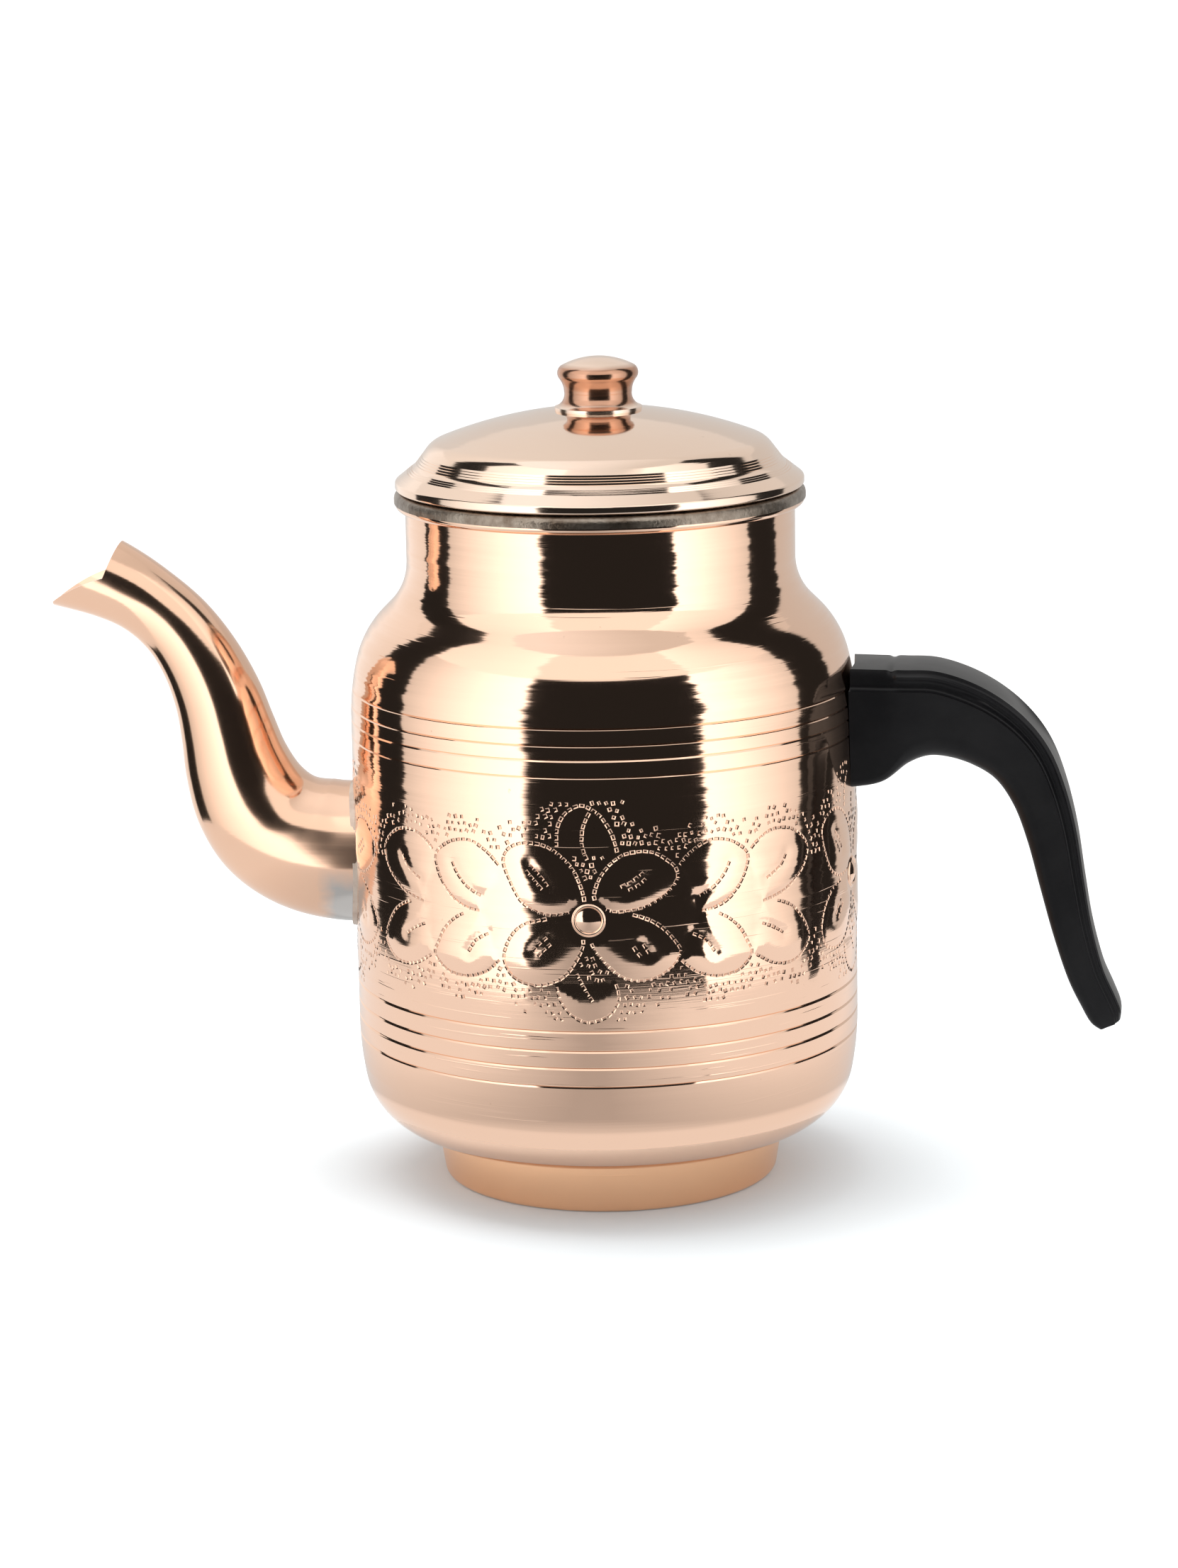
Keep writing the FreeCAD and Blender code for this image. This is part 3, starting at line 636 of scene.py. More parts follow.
def relief(u, z):
    """Height of the raised petals, leaves and bosses over the wall."""
    points = np.stack([u, z], -1)
    h = np.zeros(len(points))
    for loop, swell in shifted_closed:
        lo, hi = loop.min(0), loop.max(0)
        near = np.all((points > lo) & (points < hi), axis=1)
        if not near.any():
            continue
        sub = points[near]
        d = distance(sub, loop)
        d[~inside(sub, loop)] = 0.0
        k = np.clip(d / BULGE_RUN, 0, 1)
        h[near] = np.maximum(h[near], swell * (1 - (1 - k) ** 2))
    height, reach = VEIN_DENT
    for path in shifted_veins:
        near = np.all((points > path.min(0) - 3 * reach) & (points < path.max(0) + 3 * reach), axis=1)
        if near.any():
            h[near] += height * np.exp(-(distance(points[near], path, False) / reach) ** 2)
    for bu, bz in bosses:
        r = np.hypot(points[:, 0] - unwrap(bu), points[:, 1] - bz)
        h *= np.clip((r - 4.4) / 3.0, 0, 1)
        dome = 0.95 * np.clip(1 - (r / BOSS_R) ** 2, 0, 1)
        ring = BOSS_RING[2] * np.clip(1 - ((r - BOSS_RING[0]) / BOSS_RING[1]) ** 2, 0, 1)
        h += dome + ring
    return h


def band_marks():
    """Chased dashes and matting punches as (u, z, angle, half length, half width), none overlapping."""
    rng = random.Random(7)
    marks, cells = [], {}

    def try_mark(u, z, angle, a, b, gap):
        u = unwrap(u)
        if not (3 < u < turn_length - 3) or not (BAND_LOW + 1.2 < z < BAND_HIGH - 1.2):
            return
        spout_u = min(u, turn_length - u)
        if math.hypot(spout_u, z - SPOUT_Z) < SPOUT_CLEAR:
            return
        handle_u = abs(u - unwrap(math.radians(90) * BODY_R))
        if z > 114.5 and handle_u < 16:
            return
        for bu, bz in bosses:
            if math.hypot(u - unwrap(bu), z - bz) < BOSS_CLEAR:
                return
        key = (int(u // 2), int(z // 2))
        for i in range(key[0] - 1, key[0] + 2):
            for j in range(key[1] - 1, key[1] + 2):
                for other in cells.get((i, j), ()):
                    if math.hypot(u - other[0], z - other[1]) < gap:
                        return
        mark = (u, z, angle, a, b)
        marks.append(mark)
        cells.setdefault(key, []).append(mark)

    for path in dashed:
        for (u, z), angle in along(path, DASH_PITCH):
            try_mark(u, z, angle + rng.uniform(-0.06, 0.06), DASH_LONG / 2 * rng.uniform(0.85, 1.05),
                     DASH_WIDE / 2 * rng.uniform(0.85, 1.15), DASH_PITCH * 0.9)
    for row in range(int((BAND_HIGH - BAND_LOW) / PUNCH_PITCH)):
        z = BAND_LOW + (row + 0.5) * PUNCH_PITCH
        if abs(z - BAND_MID) < 10:
            continue
        count = int(turn_length / PUNCH_PITCH)
        us = (np.arange(count) + 0.5 * (row % 2)) * PUNCH_PITCH
        zs = np.full(count, z)
        pts = np.stack([us, zs], -1)
        best = np.full(count, 99.0)
        hidden = np.zeros(count, bool)
        for loop, _ in shifted_closed:
            lo, hi = loop.min(0) - 8, loop.max(0) + 8
            near = np.all((pts > lo) & (pts < hi), axis=1)
            if near.any():
                best[near] = np.minimum(best[near], distance(pts[near], loop))
                hidden[near] |= inside(pts[near], loop)
        for u, d, h in zip(us, best, hidden):
            jitter = (rng.uniform(-0.35, 0.35), rng.uniform(-0.35, 0.35))
            size = rng.uniform(0.48, 0.68)
            angle = rng.uniform(-0.5, 0.5)
            keep = rng.random()
            if h or d < 1.5 or d > 8.0 or keep < (d - 4.6) * 0.3:
                continue
            half_long = size * rng.uniform(0.75, 1.0)
            try_mark(u + SPOUT_U + jitter[0], z + jitter[1], angle, half_long, size, PUNCH_GAP)
    return marks


def band_mesh():
    """The wall between BAND_LOW and BAND_HIGH as vertices, triangles, and a normal per corner."""
    marks = band_marks()
    points, depth, owner = [], [], []
    edges = []
    for index, (u, z, angle, a, b) in enumerate(marks):
        ca, sa = math.cos(angle), math.sin(angle)
        for wall, deep in ((0.0, 0.0), (MARK_WALL, MARK_DEPTH)):
            first = len(points)
            for sx, sy in ((-1, -1), (1, -1), (1, 1), (-1, 1)):
                dx, dy = sx * max(a - wall, MARK_FLOOR), sy * max(b - wall, MARK_FLOOR)
                points.append((u + dx * ca - dy * sa, z + dx * sa + dy * ca))
                depth.append(deep)
                owner.append(index)
            edges += [(first + k, first + (k + 1) % 4) for k in range(4)]
    marked = np.array(points)
    for bu, bz in bosses:
        for radius in BOSS_RADII:
            first, count = len(points), 12 if radius < 1 else 40
            for k in range(count):
                a = 2 * math.pi * k / count
                points.append((unwrap(bu) + radius * math.cos(a), bz + radius * math.sin(a)))
                depth.append(0.0)
                owner.append(-1)
            edges += [(first + k, first + (k + 1) % count) for k in range(count)]
    # plain grid, fine over the relief, coarse elsewhere, kept off the marks
    cells = {(int(u / 0.8), int(z / 0.8)) for u, z in points}
    step_u = turn_length / AROUND
    grid = []
    fine = 1.0
    rows = int((BAND_HIGH - BAND_LOW) / fine)
    cols = int(turn_length / fine)
    for r in range(1, rows):
        z = BAND_LOW + r * (BAND_HIGH - BAND_LOW) / rows
        for c in range(1, cols):
            u = (c + 0.5 * (r % 2)) * turn_length / cols
            if u > turn_length - 0.6:
                continue
            grid.append((u, z))
    grid = np.array(grid)
    off_boss = np.ones(len(grid), bool)
    for bu, bz in bosses:
        off_boss &= np.hypot(grid[:, 0] - unwrap(bu), grid[:, 1] - bz) > BOSS_RADII[-1] + 0.35
    grid = grid[off_boss]
    lift = relief(grid[:, 0], grid[:, 1])
    keep = []
    for (u, z), h in zip(grid, lift):
        iu, iz = int(u / 0.8), int(z / 0.8)
        if any((i, j) in cells for i in (iu - 1, iu, iu + 1) for j in (iz - 1, iz, iz + 1)):
            if (np.abs(marked - (u, z)).max(1) < 0.55).any():
                continue
            keep.append((u, z))
        elif h > 0.004 or (int(round(u)) % 3 == 0 and int(round(z)) % 3 == 0):
            keep.append((u, z))
    border = []
    for k in range(AROUND + 1):
        border += [(k * step_u, BAND_LOW), (k * step_u, BAND_HIGH)]
    side_rows = 24
    for k in range(1, side_rows):
        z = BAND_LOW + k * (BAND_HIGH - BAND_LOW) / side_rows
        border += [(0.0, z), (turn_length, z)]
    plain = keep + border
    everything = [Vector(p) for p in points + plain]
    depth += [0.0] * len(plain)
    owner += [-1] * len(plain)
    out = delaunay_2d_cdt(everything, edges, [], 0, 1e-5)
    flat = np.array([tuple(v) for v in out[0]])
    triangles = [tuple(f) for f in out[2]]
    source = [o[0] if o else -1 for o in out[3]]
    deep = np.array([depth[s] if s >= 0 else 0.0 for s in source])
    own = [owner[s] if s >= 0 else -1 for s in source]
    u, z = flat[:, 0], flat[:, 1]
    e = 0.04
    h = relief(u, z)
    du = (relief(u + e, z) - relief(u - e, z)) / (2 * e)
    dz = (relief(u, z + e) - relief(u, z - e)) / (2 * e)
    az = (u + SPOUT_U) / BODY_R
    out_dir = np.stack([np.sin(az), -np.cos(az), np.zeros(len(az))], -1)
    round_dir = np.stack([np.cos(az), np.sin(az), np.zeros(len(az))], -1)
    verts = out_dir * (BODY_R + h - deep)[:, None]
    verts[:, 2] = z
    normals = out_dir - round_dir * du[:, None] - np.array([0, 0, 1.0]) * dz[:, None]
    normals /= np.linalg.norm(normals, axis=1)[:, None]
    return verts, triangles, normals, own, deep > 0


def pot_body(material):
    """The vessel's copper: turned surfaces, the chased band, and the inner face under the tin."""
    verts, tris, normals, own, struck = band_mesh()
    faces, loops = [], []
    for t in tris:
        a, b, c = (verts[i] for i in t)
        n = np.cross(b - a, c - a)
        if np.dot(n, normals[t[0]]) < 0:
            t = t[::-1]
            n = -n
        mark = own[t[0]]
        faces.append(t)
        if mark >= 0 and own[t[1]] == mark and own[t[2]] == mark:
            n = n / (np.linalg.norm(n) + 1e-12)
            loops += [tuple(n)] * 3
        else:
            loops += [tuple(normals[i]) for i in t]

    def turned(walk, flip=False):
        nonlocal verts
        v, n = lathe_arrays(walk.points, walk.normals)
        offset = len(verts)
        verts = np.vstack([verts, v])
        for f in ring_faces(walk.runs, AROUND, 0):
            if flip:
                f = f[::-1]
            faces.append(tuple(offset + i for i in f))
            loops.extend(tuple(-n[i]) if flip else tuple(n[i]) for i in f)

    def wall_to(walk, top, half):
        """Up a straight or gently curved wall, with its grooves."""
        for z in [g for g in GROOVES if walk.z < g - half < top]:
            walk.line(z - half - walk.z, 2)
            walk.corner(((BODY_R - GROOVE_DEPTH, z), (BODY_R, z + half)))
            walk.heading = 90
        walk.line(top - walk.z, 2)

    lower = Walk(0.01, BOTTOM_Z, 0).line(BOTTOM_R - 0.01, 8)
    lower.arc(*BOWL_BENDS[0])
    # the second bend of the bowl holds the lowest groove
    radius, turn = BOWL_BENDS[1]
    groove = GROOVES[0]
    lower.step = 1.0
    before = lower.z
    full = radius * math.sin(math.radians(turn))
    cut = math.degrees(math.asin(max(0.0, (before + full - (groove - GROOVE_HALF[0])) / radius)))
    lower.arc(radius, turn - cut)
    back = math.degrees(math.asin((before + full - (groove + GROOVE_HALF[0])) / radius))
    top_r = BODY_R - radius * (1 - math.cos(math.radians(back)))
    lower.corner(((top_r - GROOVE_DEPTH, groove), (top_r, groove + GROOVE_HALF[0])))
    lower.heading = 90 - back
    lower.arc(radius, back)
    wall_to(lower, BAND_LOW, GROOVE_HALF[0])
    turned(lower)

    upper = Walk(BODY_R, BAND_HIGH, 90)
    wall_to(upper, SHOULDER_Z - GROOVE_HALF[1], GROOVE_HALF[1])
    upper.corner(((BODY_R - GROOVE_DEPTH, SHOULDER_Z + 0.1), (BODY_R, SHOULDER_Z + 0.1 + GROOVE_HALF[1])))
    upper.heading = 90
    upper.z = SHOULDER_Z + 0.1 + GROOVE_HALF[1]
    radius, turn = SHOULDER_BENDS[0]
    upper.step = 1.0
    for z in GROOVES[6:]:
        for edge in (-1, 1):
            angle = math.degrees(math.asin((z + edge * GROOVE_HALF[1] - SHOULDER_Z) / radius))
            r = BODY_R - radius * (1 - math.cos(math.radians(angle)))
            if edge < 0:
                start = math.degrees(math.asin((upper.z - SHOULDER_Z) / radius))
                upper.heading = 90 + start
                upper.r = BODY_R - radius * (1 - math.cos(math.radians(start)))
                upper.arc(radius, angle - start)
            else:
                upper.corner(((r - GROOVE_DEPTH, z), (r, z + GROOVE_HALF[1])))
    start = math.degrees(math.asin((upper.z - SHOULDER_Z) / radius))
    upper.heading = 90 + start
    upper.arc(radius, turn - start)
    upper.step = 1.5
    upper.arc(*SHOULDER_BENDS[1]).line(SHOULDER_SLOPE, 2).arc(NECK_BEND, 90 - upper.heading)
    upper.line(LIP_Z - upper.z, 6)
    upper.step = 12
    upper.arc(LIP_BEND, -180).line(LIP_FLAT).arc(LIP_BEND, -LIP_CLOSE)
    turned(upper)

    # inner face, from the axis to the lip's end, and the edge that joins the two
    inner = Walk(0.01, BOTTOM_Z, 0, SHEET, 8).line(BOTTOM_R - 0.01, 4)
    for radius, turn in BOWL_BENDS:
        inner.arc(radius, turn)
    inner.line(SHOULDER_Z - inner.z, 3)
    for radius, turn in SHOULDER_BENDS:
        inner.arc(radius, turn)
    inner.line(SHOULDER_SLOPE).arc(NECK_BEND, 90 - inner.heading).line(LIP_Z - inner.z)
    inner.step = 15
    inner.arc(LIP_BEND, -180).line(LIP_FLAT).arc(LIP_BEND, -LIP_CLOSE)
    turned(inner, flip=True)
    cap = Walk(*upper.points[-1], 0)
    cap.corner((inner.points[-1],))
    turned(cap)
    piece = make("pot_body", verts, faces, loops, material, replaces=("body_shell",), slot="copper")
    field = piece.data.attributes.new("struck", "FLOAT", "POINT")
    field.data.foreach_set("value", list(struck.astype(float)) + [0.0] * (len(verts) - len(struck)))
    return piece


pot_body(copper)


# ---------------------------------------------------------------- foot, lid and knob

foot = Walk(FOOT_FLANGE_R, 0, 0, step=6).line(FOOT_FLAT_R - FOOT_FLANGE_R).arc(FOOT_BEND, FOOT_LEAN)
foot.line((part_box("foot_ring")[1][2] / MM - foot.z) / math.sin(math.radians(FOOT_LEAN)), 6)
foot_inner = Walk(FOOT_FLANGE_R, 0, 0, SHEET, 6).line(FOOT_FLAT_R - FOOT_FLANGE_R).arc(FOOT_BEND, FOOT_LEAN)
foot_inner.line((foot.z - foot_inner.z) / math.sin(math.radians(FOOT_LEAN)), 3)


def two_sided(name, outer, inner, material, count=AROUND, **kw):
    """A turned sheet with both faces, closed at its two edges."""
    parts = []
    for walk, flip in ((outer, 1), (inner, -1)):
        v, n = lathe_arrays(walk.points, [(a * flip, b * flip) for a, b in walk.normals], count)
        f = ring_faces(walk.runs, count)
        parts.append((v, n, [q[::-1] for q in f] if flip < 0 else f))
    for a, b in ((inner.points[0], outer.points[0]), (outer.points[-1], inner.points[-1])):
        if math.dist(a, b) < 1e-6 or max(a[0], b[0]) < 0.1:
            continue
        edge = Walk(*a, 0)
        edge.corner((b,))
        v, n = lathe_arrays(edge.points, edge.normals, count)
        parts.append((v, n, ring_faces(edge.runs, count)))
    verts, loops, faces = [], [], []
    for v, n, f in parts:
        offset = sum(len(x) for x in verts)
        verts.append(v)
        for q in f:
            faces.append(tuple(offset + i for i in q))
            loops.extend(tuple(n[i]) for i in q)
    return make(name, np.vstack(verts), faces, loops, material, **kw)


two_sided("foot", foot, foot_inner, copper_foot, replaces=("foot_ring",), slot="copper_foot")


dome = Walk(0.01, LID_TOP_Z, 0, 0, 1.0)
dome.arc(LID_CROWN[0], -LID_CROWN[1])
dome.step = 3
dome.arc(LID_EDGE[0], -LID_EDGE[1])


def turned_ring(walk, steep, back, depth):
    """A ring cut by the lathe: a long face that turns outwards, then a short one back to the surface."""
    a = math.radians(walk.heading)
    t, n = (math.cos(a), math.sin(a)), (-math.sin(a), math.cos(a))
    heading, r, z = walk.heading, walk.r, walk.z
    walk.corner(((r + steep * t[0] - depth * n[0], z + steep * t[1] - depth * n[1]),
                 (r + (steep + back) * t[0], z + (steep + back) * t[1])))
    walk.heading = heading


dome.line(LID_SMOOTH)
for gap in LID_RINGS:
    turned_ring(dome, *RING_CUT)
    dome.line(gap)
dome.line(LID_SLOPE - LID_SMOOTH - sum(LID_RINGS) - len(LID_RINGS) * (RING_CUT[0] + RING_CUT[1]))
dome.arc(*LID_FLARE)
flare = (dome.z - HEM_TOP_Z) / math.sin(math.radians(-dome.heading))
for _ in range(3):
    dome.line(FLARE_GAP)
    turned_ring(dome, *FLARE_CUT)
dome.line(flare - 3 * (FLARE_GAP + FLARE_CUT[0] + FLARE_CUT[1]))
dome.step = 10
dome.arc(HEM_BENDS[0], -90 - dome.heading).line(HEM_DROP).arc(HEM_BENDS[1], -90).line(dome.r - HEM_R)
under = Walk(0.01, LID_TOP_Z, 0, -LID_SHEET, 3)
under.arc(LID_CROWN[0], -LID_CROWN[1]).arc(LID_EDGE[0], -LID_EDGE[1]).line(LID_SLOPE).arc(*LID_FLARE)
slope = math.radians(-under.heading)
under.line((HEM_R - LID_SHEET * math.sin(slope) - under.r) / math.cos(slope) + 0.6)
dome.normals = [(-a, -b) for a, b in dome.normals]
under.normals = [(-a, -b) for a, b in under.normals]


def lid_sheet():
    """The dome's outer face with its hem, and its inner face."""
    verts, loops, faces = [], [], []
    for walk, flip in ((dome, 1), (under, -1)):
        v, n = lathe_arrays(walk.points, [(a * flip, b * flip) for a, b in walk.normals])
        offset = sum(len(x) for x in verts)
        verts.append(v)
        for q in ring_faces(walk.runs, AROUND):
            q = q[::-1] if flip > 0 else q
            faces.append(tuple(offset + i for i in q))
            loops.extend(tuple(n[i]) for i in q)
    return make("lid_top", np.vstack(verts), faces, loops, copper_lid, body="lid", replaces=("lid_dome",))


lid_sheet()

KNOB_BASE = (12.4, 224.0)
KNOB_TOP_Z = 238.2


def circle_through(p, q, s):
    """Centre and radius of the circle through three points."""
    ax, az, bx, bz, cx, cz = *p, *q, *s
    d = 2 * (ax * (bz - cz) + bx * (cz - az) + cx * (az - bz))
    ux = ((ax ** 2 + az ** 2) * (bz - cz) + (bx ** 2 + bz ** 2) * (cz - az) + (cx ** 2 + cz ** 2) * (az - bz)) / d
    uz = ((ax ** 2 + az ** 2) * (cx - bx) + (bx ** 2 + bz ** 2) * (ax - cx) + (cx ** 2 + cz ** 2) * (bx - ax)) / d
    return ux, uz, math.dist((ux, uz), p)


def arc_through(p, q, s, count):
    """Points on the circle through three points, from p to s, with outward normals."""
    ux, uz, radius = circle_through(p, q, s)
    t0, t1, t2 = (math.atan2(v[1] - uz, v[0] - ux) for v in (p, q, s))
    while t1 - t0 > math.pi:
        t1 -= 2 * math.pi
    while t1 - t0 < -math.pi:
        t1 += 2 * math.pi
    while t2 - t1 > math.pi:
        t2 -= 2 * math.pi
    while t2 - t1 < -math.pi:
        t2 += 2 * math.pi
    out = []
    for k in range(count + 1):
        t = t0 + (t2 - t0) * k / count
        normal = (math.cos(t), math.sin(t))
        if t2 < t0:
            normal = (-normal[0], -normal[1])
        out.append(((ux + radius * math.cos(t), uz + radius * math.sin(t)), normal))
    return out


def knob_walk():
    w = Walk(0, 0, 0)
    start = KNOB_BASE
    crown = LID_TOP_Z - LID_CROWN[0] + math.sqrt(LID_CROWN[0] ** 2 - KNOB_BASE[0] ** 2)
    sides = (((10.4, 225.3), (9.65, 228.3)), ((10.0, 230.2), (10.9, 231.9)), ((11.5, 233.7), (10.6, 235.5)))
    w.r, w.z = KNOB_BASE[0], crown - 0.2
    w.corner((KNOB_BASE,))
    for middle, end in sides:
        points = arc_through(start, middle, end, 10)
        for k, (p, n) in enumerate(points):
            w.points.append(p)
            w.normals.append(n)
            if k:
                w.runs.append((len(w.points) - 2, len(w.points) - 1))
        start = end
    h = KNOB_TOP_Z - start[1]
    radius = (start[0] ** 2 + h * h) / (2 * h)
    w.r, w.z = start
    w.heading = 180 - math.degrees(math.asin(start[0] / radius))
    w.arc(radius, math.degrees(math.asin((start[0] - 0.01) / radius)))
    return w


lathe("knob_turned", knob_walk(), copper_knob, 128, body="lid", replaces=("knob",))


# ---------------------------------------------------------------- spout

def station_spline(stations, count):
    """Smooth values through the stations at even steps, by Catmull-Rom on every column."""
    s = np.array(stations, float)
    n = len(s)
    out = []
    for t in np.linspace(0, n - 1, count):
        i = min(int(t), n - 2)
        f = t - i
        a, b, c, d = s[max(i - 1, 0)], s[i], s[i + 1], s[min(i + 2, n - 1)]
        out.append(0.5 * (2 * b + (c - a) * f + (2 * a - 5 * b + 4 * c - d) * f * f + (3 * b - a - 3 * c + d) * f ** 3))
    return np.array(out)


def spout():
    dense = station_spline(SPOUT_STATIONS, 361)
    lip = circle_through(BEAK_NOTCH, BEAK_LIP, BEAK_TIP)
    steep_x = BEAK_CROWN[0] - BEAK_NOTCH[0]
    steep_z = BEAK_CROWN[1] - BEAK_NOTCH[1]

    def kept(x, z):
        """Whether a point lies on the pot's side of the beak's cut."""
        beyond_steep = (x - BEAK_NOTCH[0]) * steep_z - (z - BEAK_NOTCH[1]) * steep_x < 0
        inside_lip = math.dist((x, z), lip[:2]) < lip[2]
        above_lip = inside_lip if lip[1] > BEAK_LIP[1] else not inside_lip
        return not (beyond_steep and (above_lip or x < BEAK_TIP[0]))

    def point(row, angle, inset):
        x, z, radius, rise = row
        a = math.radians(rise)
        across = radius - inset
        up = across * math.cos(angle)
        return np.array([x + up * math.sin(a), across * math.sin(angle), z + up * math.cos(a)])

    count, rows = 112, 120
    verts, faces = [], []
    for inset in (0.0, SHEET):
        for j in range(count):
            angle = 2 * math.pi * j / count
            line = [point(row, angle, inset) for row in dense]
            out = [math.hypot(p[0], p[1]) > BODY_R - 0.05 for p in line]
            first = next(k for k, flag in enumerate(out) if flag)
            last = next((k for k in range(first, len(line)) if not kept(line[k][0], line[k][2])),
                        len(line) - 1)
            start = first - 1 + (BODY_R - math.hypot(*line[first - 1][:2])) / (
                math.hypot(*line[first][:2]) - math.hypot(*line[first - 1][:2]))
            low, high = float(last - 1), float(last)
            for _ in range(20):
                mid = (low + high) / 2
                k = min(int(mid), len(line) - 2)
                p = line[k] + (line[k + 1] - line[k]) * (mid - k)
                if kept(p[0], p[2]):
                    low = mid
                else:
                    high = mid
            for k in range(rows + 1):
                t = start + (low - start) * k / rows
                i = min(int(t), len(line) - 2)
                verts.append(line[i] + (line[i + 1] - line[i]) * (t - i))
    side = count * (rows + 1)
    for s in range(2):
        for j in range(count):
            a, b = s * side + j * (rows + 1), s * side + ((j + 1) % count) * (rows + 1)
            for k in range(rows):
                quad = (a + k, b + k, b + k + 1, a + k + 1)
                faces.append(quad if s else quad[::-1])
    for j in range(count):
        a, b = j * (rows + 1), ((j + 1) % count) * (rows + 1)
        faces.append((a + rows, b + rows, b + rows + side, a + rows + side))
        faces.append((a, a + side, b + side, b))
    piece = make("spout", verts, faces, None, copper_spout, replaces=("spout_tube",))
    piece.data.polygons.foreach_set("use_smooth", [True] * len(piece.data.polygons))
    piece.data.set_sharp_from_angle(angle=math.radians(40))
    return piece


spout()


# ---------------------------------------------------------------- handle

def grip():
    rows = 220
    dense = station_spline(HANDLE_STATIONS, rows + 1)
    bevel_steps, side_steps, top_steps, bend_steps = 26, 10, 16, 8
    verts, faces = [], []
    for x, z, half_t, half_w, inner_r, heading in dense:
        a = math.radians(heading)
        up = np.array([-math.sin(a), 0, math.cos(a)])
        side = np.array([0, 1.0, 0])
        centre = np.array([x, 0, z])
        bevel_h = min(BEVEL_H, BEVEL_SHARE * half_t)
        inner_w = GRIP_TAPER * half_w
        ribbed = min(max((x - 84.2) / 1.3, 0), 1)
        dent = 0.55 * math.exp(-((x - 83.8) / 0.95) ** 2)
        second = min(max((x - 100.0) / 8.0, 0), 1)
        hollow = math.exp(-((x - 116.5) / 5.5) ** 2) if z > 90 else 0.0
        half = []
        for k in range(top_steps + 1):
            q = k / top_steps
            crown = 0.35 * (1 - q * q) * (1 - hollow) - 0.9 * hollow * (1 - q ** 4) - dent * q * q
            half.append((q * (half_w - BEVEL_W), half_t + crown))
        run = np.array([BEVEL_W, -bevel_h])
        out = np.array([bevel_h, BEVEL_W]) / math.hypot(*run)
        scale = min(1.0, bevel_h / 5.0)
        for k in range(1, bevel_steps + 1):
            b = k / bevel_steps
            offset = -1.25 * math.sin(math.pi * b ** 2.8) ** 0.9 - dent * max(0.0, 1 - 2 * b)
            offset += ribbed * 0.85 * math.exp(-((b - 0.36) / 0.10) ** 2)
            offset += second * 0.6 * math.exp(-((b - 0.62) / 0.07) ** 2)
            p = np.array([half_w - BEVEL_W, half_t]) + run * b + out * offset * scale
            half.append(tuple(p))
        shoulder = (half_w, half_t - bevel_h)
        low = (inner_w, inner_r - half_t)
        for k in range(1, side_steps + 1):
            b = k / side_steps
            half.append((shoulder[0] + (low[0] - shoulder[0]) * b, shoulder[1] + (low[1] - shoulder[1]) * b))
        for k in range(1, bend_steps + 1):
            t = math.pi / 2 * k / bend_steps
            half.append((inner_w - inner_r + inner_r * math.cos(t), inner_r - half_t - inner_r * math.sin(t)))
        for k in range(1, 5):
            half.append(((inner_w - inner_r) * (1 - k / 4), -half_t))
        loop = half + [(-p, q) for p, q in half[-2:0:-1]]
        width = len(loop)
        for p, q in loop:
            verts.append(centre + side * p + up * q)
    verts = np.array(verts)
    # the root follows the wall
    wall = BODY_R + 0.12
    inner = np.hypot(verts[:, 0], verts[:, 1]) < wall
    reach = np.sqrt(np.maximum(wall ** 2 - verts[:, 1] ** 2, 0))
    verts[inner, 0] = reach[inner]
    for r in range(rows):
        for k in range(width):
            n = (k + 1) % width
            faces.append((r * width + k, r * width + n, (r + 1) * width + n, (r + 1) * width + k))
    first = min(f[0] // width for f in faces if not all(inner[i] for i in f))
    skin = [f for f in faces if f[0] // width >= first]
    toe = tuple(rows * width + k for k in range(width))
    root = tuple(first * width + k for k in reversed(range(width)))
    piece = make("grip", verts, skin + [toe, root], None, bakelite, replaces=("handle_grip",),
                 slot="bakelite")
    mesh = piece.data
    bm = bmesh.new()
    bm.from_mesh(mesh)
    bmesh.ops.delete(bm, geom=[v for v in bm.verts if not v.link_faces], context="VERTS")
    bmesh.ops.recalc_face_normals(bm, faces=bm.faces)
    bm.to_mesh(mesh)
    bm.free()
    mesh.polygons.foreach_set("use_smooth", [True] * len(mesh.polygons))
    mesh.set_sharp_from_angle(angle=math.radians(32))
    bevel = piece.modifiers.new("edge", "BEVEL")
    bevel.width = 0.25 * MM
    bevel.segments = 2
    bevel.limit_method = "ANGLE"
    bevel.angle_limit = math.radians(38)
    return piece


grip()

FINISH = {
    "tin": tin, "solder": solder, "steel": steel, "copper_skirt": copper_foot,
    "copper": copper, "copper_foot": copper_foot, "bakelite": bakelite,
}
for part in frame["record"]["subparts"]:
    thing = frame["nodes"][part["node"]]
    if thing.hide_render:
        continue
    for place in thing.material_slots:
        place.material = FINISH[part["material_slot"]]


# ---------------------------------------------------------------- studio

def sheet(name, points, material, seen_by_camera=True):
    mesh = bpy.data.meshes.new(name)
    count = len(points) // 2
    mesh.from_pydata(points, [], [(k, k + 1, count + k + 1, count + k) for k in range(count - 1)])
    mesh.materials.append(material)
    thing = bpy.data.objects.new(name, mesh)
    bpy.context.scene.collection.objects.link(thing)
    if not seen_by_camera:
        thing.visible_camera = False
        thing.visible_diffuse = False
        thing.visible_shadow = False
        thing.visible_transmission = False
    return thing


VIEW_AZIMUTH = 6.5
R_CARD, CARD_TOP, FLAG_TOP = 0.335, 0.8, 0.36

